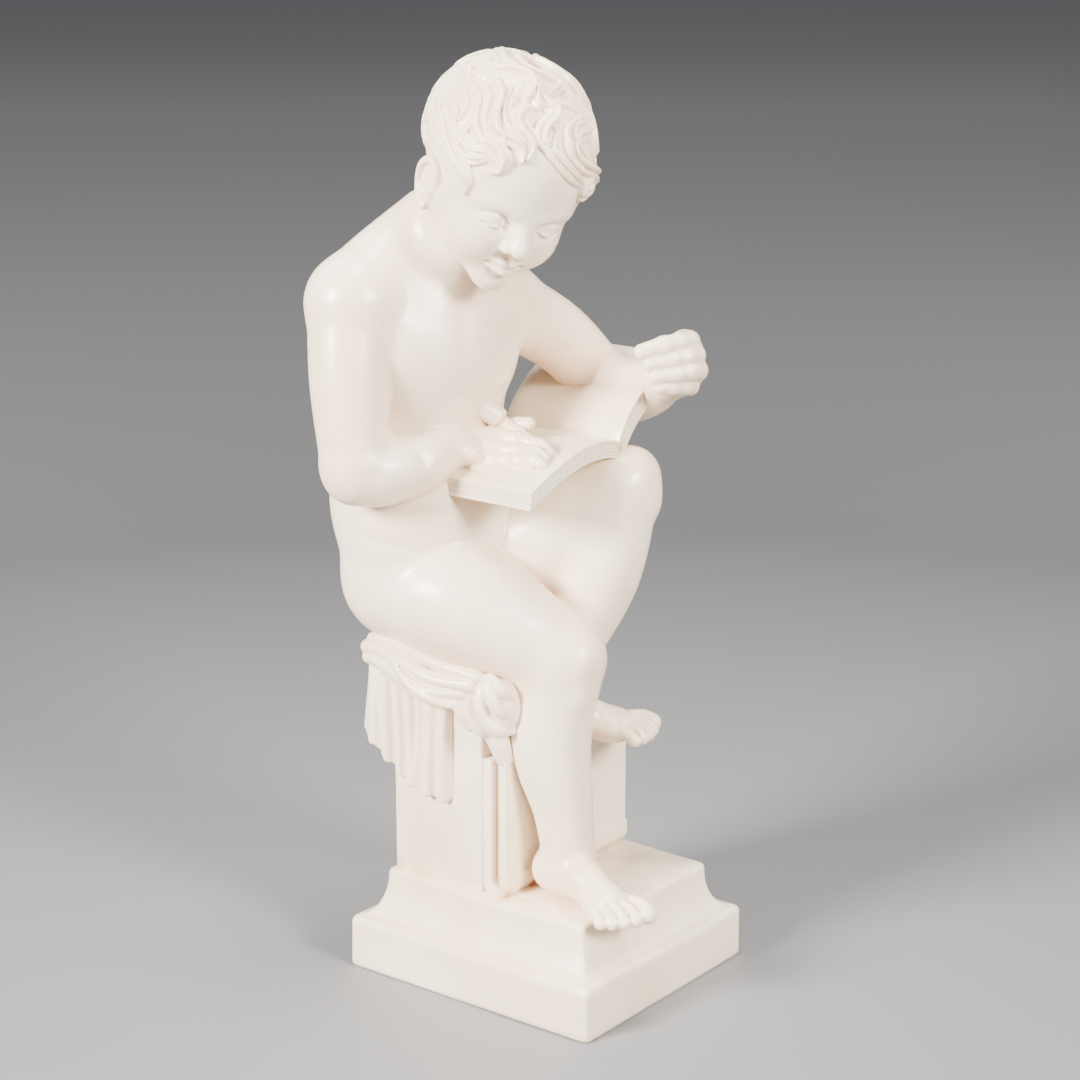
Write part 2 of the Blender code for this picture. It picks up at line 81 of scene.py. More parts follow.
class Clay:
    """A block of modelling clay: how far each point of an even grid lies from the skin, in mm."""

    def __init__(self, low, high, grain):
        self.grain = grain
        self.first = np.floor(np.array(low, float) / grain).astype(int)
        size = np.ceil(np.array(high, float) / grain).astype(int) - self.first + 1
        self.gap = np.full(size, FAR, np.float32)

    def window(self, low, high):
        """The part of the grid between two corners: its slices and its coordinates."""
        a = np.floor(np.array(low, float) / self.grain).astype(int) - self.first
        b = np.ceil(np.array(high, float) / self.grain).astype(int) - self.first + 1
        a = np.clip(a, 0, self.gap.shape)
        b = np.clip(b, 0, self.gap.shape)
        if (b <= a).any():
            return None, None
        return self.part(a, b)

    def part(self, a, b):
        """The slices and coordinates of the grid points from a up to b."""
        axes = []
        for i in range(3):
            line = (np.arange(a[i], b[i]) + self.first[i]) * self.grain
            shape = [1, 1, 1]
            shape[i] = len(line)
            axes.append(line.astype(np.float32).reshape(shape))
        return tuple(slice(p, q) for p, q in zip(a, b)), axes

    def put(self, where, axes, gap, blend):
        """Add clay, with a fillet as wide as blend."""
        here = self.gap[where]
        k = blend(axes) if callable(blend) else max(blend, SOFTEST)
        h = np.clip(0.5 + 0.5 * (here - gap) / k, 0, 1)
        self.gap[where] = here + (gap - here) * h - k * h * (1 - h)

    def take(self, where, axes, gap, blend):
        """Carve clay away, with a rim as soft as blend."""
        here = self.gap[where]
        k = max(blend, SOFTEST)
        h = np.clip(0.5 - 0.5 * (here + gap) / k, 0, 1)
        self.gap[where] = here + (-gap - here) * h + k * h * (1 - h)

    def reach(self, blend):
        return (blend if not callable(blend) else blend.most) + 3 * self.grain

    def ball(self, centre, radii, blend=1.0, spin=None, carve=False):
        centre = np.array(centre, float)
        radii = np.ones(3) * radii
        spin = np.eye(3) if spin is None else spin
        half = np.sqrt((spin ** 2) @ (radii ** 2)) + self.reach(blend)
        where, axes = self.window(centre - half, centre + half)
        if where is None:
            return
        x, y, z = [axis - c for axis, c in zip(axes, centre)]
        near = 0
        steep = 0
        for i in range(3):
            local = (x * spin[0, i] + y * spin[1, i] + z * spin[2, i]) / radii[i]
            near = near + local ** 2
            steep = steep + (local / radii[i]) ** 2
        near = np.sqrt(near)
        gap = near * (near - 1) / np.maximum(np.sqrt(steep), 1e-5)
        (self.take if carve else self.put)(where, axes, gap, blend)

    def strand_gap(self, knots, radii, extra):
        """Distance from a chain of round cones, over the window that holds it."""
        most = radii.max() + extra + self.grain
        low = np.min(knots, 0) - most
        high = np.max(knots, 0) + most
        where, axes = self.window(low, high)
        if where is None:
            return None, None, None
        gap = np.full([s.stop - s.start for s in where], FAR, np.float32)
        for a, b, ra, rb in zip(knots, knots[1:], radii, radii[1:]):
            wide = max(ra, rb) + extra
            part, near_axes = self.window(np.minimum(a, b) - wide, np.maximum(a, b) + wide)
            if part is None:
                continue
            x, y, z = near_axes
            inner = tuple(slice(p.start - w.start, p.stop - w.start) for p, w in zip(part, where))
            run = b - a
            length = max(float(run @ run), 1e-9)
            x, y, z = x - a[0], y - a[1], z - a[2]
            t = np.clip((x * run[0] + y * run[1] + z * run[2]) / length, 0, 1)
            near = np.sqrt((x - t * run[0]) ** 2 + (y - t * run[1]) ** 2 + (z - t * run[2]) ** 2)
            near -= ra + (rb - ra) * t
            gap[inner] = np.minimum(gap[inner], near)
        return where, axes, gap

    def limb(self, points, blend=1.0, steps=6, carve=False):
        """A round limb through (place, radius) points."""
        knots, radii = smooth_run(points, steps)
        where, axes, gap = self.strand_gap(knots, radii, self.reach(blend))
        if where is not None:
            (self.take if carve else self.put)(where, axes, gap, blend)

    def press(self, points, depth, width, steps=5):
        """A soft furrow along a line on the skin; a negative depth raises a soft ridge."""
        knots, radii = smooth_run([(place, 0.0) for place in points], steps)
        where, axes, gap = self.strand_gap(knots, radii, 2.6 * width)
        if where is not None:
            self.gap[where] += depth * np.exp(-(gap / width) ** 2)

    def buried(self, places, most):
        """How deep each place lies in the clay as it was when keep() was called, up to a limit."""
        index = np.rint(np.array(places) / self.grain).astype(int) - self.first
        index = np.clip(index, 0, np.array(self.gap.shape) - 1)
        return np.clip(-self.kept[tuple(index.T)], 0, most)

    def keep(self):
        self.kept = self.gap.copy()

    def merge(self, other, blend):
        """Join a part that was modelled apart."""
        low = np.maximum(self.first, other.first)
        high = np.minimum(self.first + self.gap.shape, other.first + other.gap.shape)
        where, axes = self.part(low - self.first, high - self.first)
        there, _ = other.part(low - other.first, high - other.first)
        self.put(where, axes, other.gap[there], blend)


def smooth_run(points, steps):
    """A smooth line and its radii through a few points."""
    places = np.array([p for p, r in points], float)
    radii = np.array([r for p, r in points], float)
    if len(points) == 2:
        share = np.linspace(0, 1, steps + 1)[:, None]
        line = places[0] + (places[1] - places[0]) * share
        return line, radii[0] + (radii[1] - radii[0]) * share[:, 0]
    data = np.column_stack([places, radii])
    data = np.vstack([2 * data[0] - data[1], data, 2 * data[-1] - data[-2]])
    out = []
    for i in range(len(points) - 1):
        p0, p1, p2, p3 = data[i:i + 4]
        for t in np.arange(steps) / steps:
            out.append(0.5 * (2 * p1 + (p2 - p0) * t + (2 * p0 - 5 * p1 + 4 * p2 - p3) * t ** 2
                              + (3 * p1 - p0 - 3 * p2 + p3) * t ** 3))
    out.append(data[-2])
    out = np.array(out)
    return out[:, :3], out[:, 3]


def fillet(tight, wide, place, reach):
    """A fillet that is wide near one place and tight away from it."""
    place = np.array(place, float)

    def width(axes):
        x, y, z = [axis - c for axis, c in zip(axes, place)]
        return tight + (wide - tight) * np.exp(-(x * x + y * y + z * z) / reach ** 2)

    width.most = wide
    return width


def skin(name, clay, faces, smooth=2):
    """The clay's surface as a mesh, in metres."""
    gap = clay.gap
    inside = gap < 0
    count = np.zeros([n - 1 for n in gap.shape], np.uint8)
    corners = [(i, j, k) for i in (0, 1) for j in (0, 1) for k in (0, 1)]
    for i, j, k in corners:
        count += inside[i:i + count.shape[0], j:j + count.shape[1], k:k + count.shape[2]]
    cells = np.argwhere((count > 0) & (count < 8))
    index = np.full(count.shape, -1, np.int32)
    index[tuple(cells.T)] = np.arange(len(cells))
    total = np.zeros((len(cells), 3))
    hits = np.zeros(len(cells))
    for a in corners:
        for axis in range(3):
            if a[axis]:
                continue
            b = list(a)
            b[axis] = 1
            ga = gap[tuple((cells + a).T)]
            gb = gap[tuple((cells + b).T)]
            cross = (ga < 0) != (gb < 0)
            t = np.where(cross, ga / np.where(cross, ga - gb, 1), 0)
            place = np.tile(np.array(a, float), (len(cells), 1))
            place[:, axis] += t
            total += place * cross[:, None]
            hits += cross
    places = (cells + clay.first + total / hits[:, None]) * clay.grain * MM
    quads = []
    for axis in range(3):
        one, two = [(1, 2), (2, 0), (0, 1)][axis]
        near = [slice(None)] * 3
        far = [slice(None)] * 3
        near[axis] = slice(0, -1)
        far[axis] = slice(1, None)
        edge = inside[tuple(near)] != inside[tuple(far)]
        for side in (one, two):
            cut = [slice(None)] * 3
            cut[side] = slice(1, -1)
            edge = edge[tuple(cut)]
        at = np.argwhere(edge)
        at[:, one] += 1
        at[:, two] += 1
        out = inside[tuple(at.T)]
        ring = []
        for da, db in ((-1, -1), (0, -1), (0, 0), (-1, 0)):
            cell = at.copy()
            cell[:, one] += da
            cell[:, two] += db
            ring.append(index[tuple(cell.T)])
        ring = np.stack(ring, 1)
        ring[~out] = ring[~out][:, ::-1]
        quads.append(ring)
    quads = np.concatenate(quads)
    mesh = bpy.data.meshes.new(name)
    mesh.vertices.add(len(places))
    mesh.vertices.foreach_set("co", places.astype(np.float32).ravel())
    mesh.loops.add(quads.size)
    mesh.loops.foreach_set("vertex_index", quads.astype(np.int32).ravel())
    mesh.polygons.add(len(quads))
    mesh.polygons.foreach_set("loop_start", np.arange(0, quads.size, 4, dtype=np.int32))
    mesh.update(calc_edges=True)
    obj = add(name, mesh)
    if smooth:
        mod = obj.modifiers.new("burnish", "SMOOTH")
        mod.factor = 0.5
        mod.iterations = smooth
    share = faces / (2 * len(quads))
    if share < 1:
        mod = obj.modifiers.new("facets", "DECIMATE")
        mod.ratio = share
    bake(obj)
    obj.data.shade_smooth()
    return obj


def add(name, data):
    obj = bpy.data.objects.new(name, data)
    bpy.context.scene.collection.objects.link(obj)
    return obj


def as_mesh(name, bm):
    mesh = bpy.data.meshes.new(name)
    bm.to_mesh(mesh)
    bm.free()
    return mesh


def loft(name, sections):
    """A closed shell through sections of as many points each, in metres."""
    bm = bmesh.new()
    rings = [[bm.verts.new(place) for place in section] for section in sections]
    count = len(rings[0])
    for a, b in zip(rings, rings[1:]):
        for i in range(count):
            j = (i + 1) % count
            bm.faces.new((a[i], a[j], b[j], b[i]))
    bm.faces.new(rings[0])
    bm.faces.new(rings[-1])
    bmesh.ops.recalc_face_normals(bm, faces=bm.faces)
    return add(name, as_mesh(name, bm))


def soften(obj, width, segments, flattest):
    """Round the edges that bend by more than flattest degrees."""
    mod = obj.modifiers.new("soft_edges", "BEVEL")
    mod.width = width * MM
    mod.segments = segments
    mod.limit_method = "ANGLE"
    mod.angle_limit = math.radians(flattest)
    bake(obj)


def bake(obj):
    """Keep an object's modifiers in its mesh."""
    bpy.context.view_layer.update()
    shape = obj.evaluated_get(bpy.context.evaluated_depsgraph_get())
    mesh = bpy.data.meshes.new_from_object(shape)
    mesh.name = obj.name
    obj.modifiers.clear()
    old = obj.data
    obj.data = mesh
    bpy.data.meshes.remove(old)
    return obj


# The figure: landmarks shared by its parts
FACING = -17.5
RIGHT_KNEE = seat(-13, -39, 2)
RIGHT_ANKLE = floor(-16, 20.5, 10.5)
LEFT_KNEE = seat(24.5, -35, 54)
LEFT_ANKLE = step(-6, 2.5, 16)
HEAD = seat(-15.5, -16.5, 168)
LOOK = turned(-31, 28, 15)
NECK_CUT = np.array((-24.8, 12.0, 239.5))
NECK_WAY = np.array((-0.22, -0.743, 0.632))
NECK_MIDDLE = np.array((-20.0, 20.0, 258.0))
NECK_REACH = 52


def in_head(x, y, z):
    """A place counted in mm from the middle of the head: his left, back, up."""
    return HEAD + LOOK @ np.array((x, y, z), float)


def trunk(clay):
    face = turned(FACING)
    bent = turned(FACING, 20)
    clay.ball(seat(-14, 14.5, 28), (33, 25, 28), 6, face)
    clay.ball(seat(-19, 20, 52), (32, 24, 28), 14, face)
    clay.ball(seat(-17, 18, 90), (30, 22, 37), 16, turned(FACING, -4))
    clay.ball(seat(-22, 26, 118), (25, 13, 19), 12, bent)
    clay.ball(seat(-22, 20, 24), (19, 18, 19.5), 9, face)
    clay.ball(seat(6, 14, 22), (20, 20, 20.5), 9, face)
    clay.ball(seat(-34, 7, 104), (17, 8, 14), 12, face)
    clay.ball(seat(-11, -0.5, 103), (15, 8, 14), 12, face)
    clay.ball(seat(-22, 4, 106), (18, 7.5, 14), 12, face)
    clay.ball(seat(-22, 9, 44), (24, 15, 21), 10, face)
    clay.limb([(seat(-47, 23, 122), 14.5), (seat(-19, 18, 119.5), 18.5), (seat(9, 5, 115.5), 13.5)], 10)
    clay.limb([(seat(-18, 16, 148), 9.5), (seat(-34, 21, 136), 11), (seat(-45, 23, 126), 11.5)], 9)
    clay.limb([(seat(-14, 8, 144), 9), (seat(-2, 8, 128), 9.5), (seat(8, 6, 117), 9.5)], 9)
    clay.ball(seat(-41, 32.5, 108), (9, 4.5, 13), 8, turned(-30, 8))
    clay.ball(seat(-8, 27, 106), (9, 4.5, 13), 8, turned(-2, 8))
    clay.press([seat(-26, 40.5, 130), seat(-26, 41.5, 112), seat(-23, 42, 88), seat(-21, 43, 62)], 1.3, 4.5)
    clay.press([seat(-21, 44, 62), seat(-19, 43, 45), seat(-15, 40, 28)], 1.0, 3.5)
    clay.press([seat(-13, 38, 26), seat(-10, 36, 12), seat(-9, 30, 2)], 3.2, 2.4)
    clay.press([seat(-23, -4.5, 118), seat(-25, -5, 104), seat(-26, -4, 90)], 0.35, 3.6)
    clay.press([seat(-46, 3, 92), seat(-37, -3.5, 88.5), seat(-27, -6, 90)], 0.8, 2.2)
    clay.press([seat(-24, -6, 90), seat(-14, -9.5, 87), seat(-4, -8, 90)], 0.8, 2.2)
    clay.press([seat(-50, 12, 63), seat(-42, -2, 59), seat(-30, -12, 58)], 0.9, 1.8)
    clay.press([seat(-52, 20, 44), seat(-45, 2, 40), seat(-34, -10, 40)], 0.6, 2.4)


def neck(clay):
    clay.limb([(seat(-19, 18, 120), 17.5), (seat(-17, 8, 139), 14.3), (seat(-15, -6, 156), 15.5)], 8)
    clay.press([in_head(-17, 3, -22), seat(-24, -2, 140), seat(-22, -1, 131)], -0.8, 3.0)


def legs(clay):
    right_calf = RIGHT_KNEE + 0.36 * (RIGHT_ANKLE - RIGHT_KNEE) + (-2.5, 4.8, 0)
    right_low = RIGHT_KNEE + 0.72 * (RIGHT_ANKLE - RIGHT_KNEE) + (-0.8, 1.5, 0)
    left_calf = LEFT_KNEE + 0.40 * (LEFT_ANKLE - LEFT_KNEE) + (2, -0.5, 0)
    left_low = LEFT_KNEE + 0.74 * (LEFT_ANKLE - LEFT_KNEE) + (1, 0, 0)
    hip = fillet(1.6, 11, seat(-38, 30, 20), 22)
    thigh = [(seat(-27, 17, 23), 20.5), (seat(-25, -8, 18), 21.3), (RIGHT_KNEE + (-1, 2, 1), 14.6)]
    clay.limb(thigh, hip, 16)
    clay.limb([(RIGHT_KNEE, 14.4), (right_calf, 14.4), (right_low, 10.4), (RIGHT_ANKLE, 9.0)], 5, 14)
    clay.ball(RIGHT_KNEE + (-1.5, -9.5, 1.5), (7, 5.5, 7.5), 5)
    clay.ball(RIGHT_KNEE + (-2.5, -9.5, -9), (4.5, 4, 5), 5)
    hip = fillet(1.6, 11, seat(18, 26, 20), 22)
    thigh = [(seat(3, 10, 24), 20.5), (seat(12, -13, 36), 20.5), (LEFT_KNEE + (-1, 2, -1), 14.2)]
    clay.limb(thigh, hip, 16)
    clay.limb([(LEFT_KNEE, 14), (left_calf, 15.2), (left_low, 11), (LEFT_ANKLE, 8.7)], 5, 14)
    clay.ball(LEFT_KNEE + (1.5, -6, 6), (7, 6, 7), 6)
    clay.ball(LEFT_KNEE + (1.5, -10, -4), (4.5, 4, 5), 5)


def foot(clay, heel, arch, root, along, across, ankle, grip):
    """One foot: heel, arch, ball, five toes with their nails, and the ankle bones."""
    part = Clay(root - 34, root + 34, clay.grain)
    up = np.array((0, 0, 1.0))
    part.ball(heel, (7.6, 8.2, 7.4), 2)
    part.limb([(ankle, 8.6), (0.5 * (ankle + heel) + along * 4, 8), (arch, 7.4), (root + up * 0.5, 5)], 6)
    part.limb([(heel, 6.8), (root - across * 2 - along * 14 + up * 1.5, 5.6), (root, 4.6)], 4)
    spin = np.column_stack([across, -along, up])
    part.ball(root - along * 0.5 + up * 0.4, (9.6, 7.5, 4.4), 4, spin)
    rows = []
    for i in range(5):
        share = i / 4
        size = (3.8, 2.95, 2.75, 2.6, 2.45)[i]
        side = (-6.3, -1.3, 2.6, 6.1, 9.0)[i]
        reach = (12.6, 12.4, 11.2, 9.3, 6.6)[i]
        base = root + across * side * 0.86 + along * (3.5 - 2.2 * share) + up * (0.2 - 0.3 * share)
        knuckle = root + across * side * 0.98 + along * (reach - 3.6) + up * (0.9 - 0.4 * share)
        tip = root + across * side + along * reach + up * (size - 4.4 - grip)
        toe = Clay(tip - 14, tip + 14, clay.grain)
        toe.limb([(base, size * 0.9), (knuckle, size * 0.8), (tip, size * 0.98)], 0.3)
        nail = tip + along * size * 0.42 + up * size * 0.62
        toe.press([nail - across * size * 0.5, nail + across * size * 0.5], 0.24, size * 0.24)
        part.merge(toe, 0.55)
        row = [(base, 0.9), (knuckle, 0.6), (tip, 0.4), (tip, -0.3)]
        rows.append([place + up * size * lift for place, lift in row])
    for one, two in zip(rows, rows[1:]):
        part.press([0.5 * (a + b) for a, b in zip(one, two)], 0.9, 0.75)
    for side in (-1, 1):
        part.ball(ankle + across * 7.2 * side + up * (0.5 - side) + along * 0.5, (2.6, 3, 3.2), 3.5)
    part.press([root - across * 4 - along * 16 - up * 1, root - across * 7 - along * 9 - up * 4], 1.2, 4)
    clay.merge(part, 3)


def feet(clay):
    along = np.array((-0.24, -0.971, 0))
    across = np.array((-0.971, 0.24, 0))
    heel, arch, root = floor(-16, 26.5, 8.2), floor(-20, 11, 9), floor(-24, -2, 4.6)
    foot(clay, heel, arch, root, along, across, RIGHT_ANKLE, 0.2)
    along = np.array((0.61, -0.792, 0))
    across = np.array((-0.792, -0.61, 0))
    heel, arch, root = step(-10, 7, 8), step(-1, -4, 9.8), step(7.5, -14.5, 4.8)
    foot(clay, heel, arch, root, along, across, LEFT_ANKLE, 0.4)


def arms(clay):
    shoulder = fillet(1.2, 11, seat(-44, 22, 126), 20)
    arm = [(seat(-48.5, 22.5, 121), 14.6), (seat(-54.5, 18.5, 98), 13.3), (seat(-57.5, 14, 73), 11.8)]
    clay.limb(arm, shoulder)
    fore = [(seat(-57.5, 13.5, 68.5), 11.8), (seat(-50, 9, 68), 12.2), (seat(-38, 3.5, 69), 10.6)]
    fore.append((seat(-25, -1, 73.5), 7.2))
    clay.limb(fore, fillet(1.2, 5, seat(-57, 14, 71), 14))
    clay.press([seat(-50, 1, 79), seat(-46, -2, 76), seat(-44, -4, 72)], 0.9, 2.2)
    shoulder = fillet(1.2, 11, seat(6, 6, 119), 18)
    clay.limb([(seat(11, 4, 115), 13.4), (seat(29, -4, 103), 12.3), (seat(44, -11, 87), 11)], shoulder)
    fore = [(seat(43, -11, 86), 11), (seat(43.5, -22, 84), 12), (seat(42.5, -33, 86), 10.5)]
    fore.append((seat(41, -42, 91), 8))
    clay.limb(fore, fillet(1.5, 5, seat(44, -11, 86), 12))


def finger(clay, places, radii, nail=None):
    """A finger through its joints, with swollen knuckles and a nail."""
    knots = [(seat(*place), radius) for place, radius in zip(places, radii)]
    part = Clay(np.min([k[0] for k in knots], 0) - 8, np.max([k[0] for k in knots], 0) + 8, clay.grain)
    part.limb(knots, 0.3, 7)
    for place, radius in knots[1:-1]:
        part.ball(place, radius * 1.07, 1.2)
    if nail is not None:
        tip = knots[-1][0]
        out = np.array(nail, float) / np.linalg.norm(nail)
        way = tip - knots[-2][0]
        way = way / np.linalg.norm(way)
        side = np.cross(out, way)
        middle = tip + out * radii[-1] * 0.75 + way * radii[-1] * 0.2
        for s in (-1, 1):
            edge = middle + side * s * radii[-1] * 0.55
            part.press([edge - way * 1.3, edge + way * 0.9], 0.22, 0.45)
        part.press([middle - way * 1.5 - side * 1.2, middle - way * 1.5 + side * 1.2], 0.22, 0.45)
    clay.merge(part, 0.55)


def right_hand(clay):
    hand = Clay(seat(-36, -46, 56), seat(4, 10, 92), clay.grain)
    hand.ball(seat(-21.5, -4.5, 71), (6.6, 8, 4.6), 1, turned(-30, 0, 20))
    hand.limb([(seat(-27, 0, 72.4), 6.8), (seat(-21, -5, 71.8), 4.8)], 3)
    joints = [(-20.9, -4.5, 74.6), (-14.9, -8.4, 75.4), (-11.3, -17.6, 75.2)]
    joints += [(-10.2, -27, 74), (-10.9, -31.4, 72.4)]
    finger(hand, joints, (3.5, 3.1, 2.6, 2.35, 1.9), (0.1, -0.5, 1))
    joints = [(-21.3, -5.6, 71.4), (-17.4, -12.1, 72), (-14.9, -20.4, 72.3)]
    joints += [(-14.5, -28.7, 72.4), (-14.4, -32, 71.4)]
    finger(hand, joints, (3.5, 3.0, 2.6, 2.35, 2.0), (-0.2, -0.5, 1))
    joints = [(-21.6, -6.8, 68.3), (-18.2, -14.1, 68.8), (-16.8, -22.9, 69.8)]
    joints += [(-17.2, -29.8, 70.8), (-17.4, -33, 70)]
    finger(hand, joints, (3.4, 3.0, 2.6, 2.3, 2.0), (-0.4, -0.5, 1))
    joints = [(-22.1, -8.8, 65.4), (-19.8, -16.6, 65.6), (-19, -24, 66.8), (-19.8, -29.4, 67.8)]
    finger(hand, joints, (3.2, 2.8, 2.4, 2.1), (-0.6, -0.5, 1))
    joints = [(-17, -2, 72.5), (-10, -7, 75.2), (-4.9, -12.2, 77.8), (-4, -17.2, 79.2)]
    finger(hand, joints, (3.8, 3.2, 2.8, 2.4), (0.5, 0, 1))
    clay.merge(hand, fillet(0.4, 4, seat(-27, 0, 73), 9))


def left_hand(clay):
    hand = Clay(seat(14, -66, 76), seat(58, -28, 118), clay.grain)
    hand.ball(seat(43.8, -48.2, 96.5), (7, 7.6, 11.6), 1, turned(-20))
    hand.limb([(seat(41, -42, 90.5), 8), (seat(43, -46.5, 94.5), 7.4)], 3)
    joints = [(43.6, -47, 103.4), (41.2, -51.6, 104.6), (35.2, -52, 105.2)]
    joints += [(29.2, -49.6, 104.8), (23.2, -44.8, 103)]
    finger(hand, joints, (4.0, 3.6, 3.3, 3.1, 2.8), (-0.3, -1, 0.2))
    joints = [(44, -48.5, 98.8), (42.4, -53.2, 99.8), (36.6, -54.2, 100.4)]
    joints += [(31, -51.6, 100), (25.2, -47, 98.8)]
    finger(hand, joints, (4.0, 3.6, 3.3, 3.1, 2.8), (-0.3, -1, 0.2))
    joints = [(44, -49, 93.8), (42.8, -54, 94.6), (37.2, -55.2, 95.4)]
    joints += [(32, -52.8, 95.2), (26.4, -48.5, 94.4)]
    finger(hand, joints, (4.0, 3.6, 3.3, 3.1, 2.8), (-0.3, -1, 0.1))
    joints = [(43, -47, 89), (41.6, -51.8, 89.2), (37, -53.2, 90.2)]
    joints += [(32.5, -51.4, 90.4), (28, -49.2, 90.6)]
    finger(hand, joints, (3.7, 3.2, 3.0, 2.8, 2.5), (-0.3, -1, 0))
    joints = [(42, -40, 90), (43.5, -37.5, 95), (41, -37, 99)]
    finger(hand, joints, (4.4, 4.0, 3.4))
    clay.merge(hand, fillet(0.4, 4, seat(41, -41, 90), 9))


def in_face(x, y, z):
    return in_head(x, y, 0.9 * z)


def head_mass(clay):
    """Skull, forehead, cheeks, jaw and chin, without the features."""
    clay.ball(in_head(0, 5.4, 5.6), (26.2, 31.2, 26.6), 4, LOOK)
    clay.ball(in_head(0, -10.5, 4), (21.5, 17, 18), 8, LOOK)
    clay.ball(in_face(0, -11, -14), (18.6, 16, 17.5), 9, LOOK)
    clay.ball(in_face(0, -11, -24), (14.5, 12.5, 9.8), 8, LOOK)
    clay.ball(in_face(0, -21.5, -32.5), (6, 5, 5.2), 6, LOOK)
    for s in (-1, 1):
        clay.ball(in_face(10 * s, -17.5, -17), (8.6, 8.6, 8.2), 6, LOOK)
        clay.ball(in_head(18 * s, -1, -12), (6, 9, 9), 6, LOOK)


def face(clay):
    """A calm boy's face on the usual shares: eyes near mid height, each a fifth of the width."""
    for s in (-1, 1):
        clay.ball(in_face(9.6 * s, -29.3, -6.6), (6.4, 4.2, 4.0), 3, LOOK, carve=True)
        brow = [(15.5, -20.3, -1.5), (10, -24.6, 0.2), (4.4, -26.3, -1.4)]
        clay.limb([(in_face(x * s, y, z), 1.9) for x, y, z in brow], 3)
        clay.ball(in_face(9.6 * s, -21.9, -6.9), (5.1, 4.6, 4.6), 0.5, LOOK)
        lid = [(4.9, -23.8, -7.6), (9.4, -26.8, -8.6), (14.4, -22.8, -7.8)]
        clay.limb([(in_face(x * s, y, z), 0.62) for x, y, z in lid], 0.5)
        lower = [(5.4, -23.8, -9), (9.6, -25.3, -10.8), (13.8, -22.9, -9.2)]
        clay.limb([(in_face(x * s, y, z), 0.95) for x, y, z in lower], 1.6)
        slit = [(5.0, -24.6, -8.6), (9.5, -27.0, -9.7), (14.3, -23.3, -8.7)]
        clay.press([in_face(x * s, y, z) for x, y, z in slit], 0.6, 0.55)
        fold = [(5.2, -24.6, -5.4), (9.5, -26.2, -3.6), (14.4, -22.8, -5.4)]
        clay.press([in_face(x * s, y, z) for x, y, z in fold], 0.55, 0.7)
    ridge = [((0, -25.8, -2.5), 2.3), ((0, -27.3, -7), 2.3), ((0, -29.8, -12), 2.8)]
    clay.limb([(in_face(*p), r) for p, r in ridge], 3.4)
    clay.ball(in_face(0, -30.8, -13.9), (3.1, 3.1, 2.8), 1.6, LOOK)
    for s in (-1, 1):
        clay.ball(in_face(3.5 * s, -28.6, -15), (2.0, 2.6, 2.0), 1.3, LOOK)
        clay.ball(in_face(1.8 * s, -30.2, -17.2), (0.9, 1.4, 0.8), 0.6, LOOK, carve=True)
        clay.press([in_face(5.8 * s, -27, -14.5), in_face(7.6 * s, -25.6, -19)], 0.35, 1.6)
    clay.press([in_face(0, -28, -18), in_face(0, -28.2, -20.6)], 0.45, 0.9)
    upper = [(-6.2, -24.6, -23.1), (-2.4, -27.9, -22), (0, -28.3, -22.4)]
    upper += [(2.4, -27.9, -22), (6.2, -24.6, -23.1)]
    clay.limb([(in_face(*p), 1.35 - 0.09 * abs(p[0])) for p in upper], 1.2)
    under = [(-5, -25, -25), (0, -27.7, -25.8), (5, -25, -25)]
    clay.limb([(in_face(*p), 1.75 - 0.16 * abs(p[0])) for p in under], 1.4)
    line = [(-6.8, -25, -23.8), (-2.6, -29, -24), (0, -29.4, -23.9), (2.6, -29, -24), (6.8, -25, -23.8)]
    clay.press([in_face(*p) for p in line], 0.9, 0.6)
    clay.press([in_face(-3, -26.3, -28.6), in_face(0, -27, -28.9), in_face(3, -26.3, -28.6)], 0.7, 1.8)


def ear(clay, s):
    part = Clay(in_head(24 * s, -1, -11) - 17, in_head(24 * s, -1, -11) + 17, clay.grain)
    part.ball(in_head(23.4 * s, -1, -11.3), (2.3, 5, 7.8), 1, LOOK @ turned(0, -12, 0))
    rim = [(23.6, -5.6, -10), (24.8, -6, -5.8), (25.8, -3, -3.2), (26.2, 1.6, -4.6), (26, 4, -9)]
    rim += [(25, 2.4, -14.6), (24, -1.6, -18.4), (23.6, -3.8, -18.6)]
    size = (1.0, 1.2, 1.35, 1.35, 1.3, 1.3, 1.7, 1.6)
    part.limb([(in_head(x * s, y, z), r) for (x, y, z), r in zip(rim, size)], 0.7)
    part.ball(in_head(25.8 * s, -2.2, -12), (2.2, 2.5, 3.6), 0.8, LOOK, carve=True)
    groove = [in_head(25.4 * s, -2.4, -6.4), in_head(26 * s, 1.6, -7.8), in_head(25.4 * s, 2, -12)]
    part.press(groove, 0.8, 0.9)
    part.ball(in_head(24.2 * s, -5.3, -12.2), (1.2, 1.3, 1.8), 0.8, LOOK)
    clay.merge(part, 1.4)


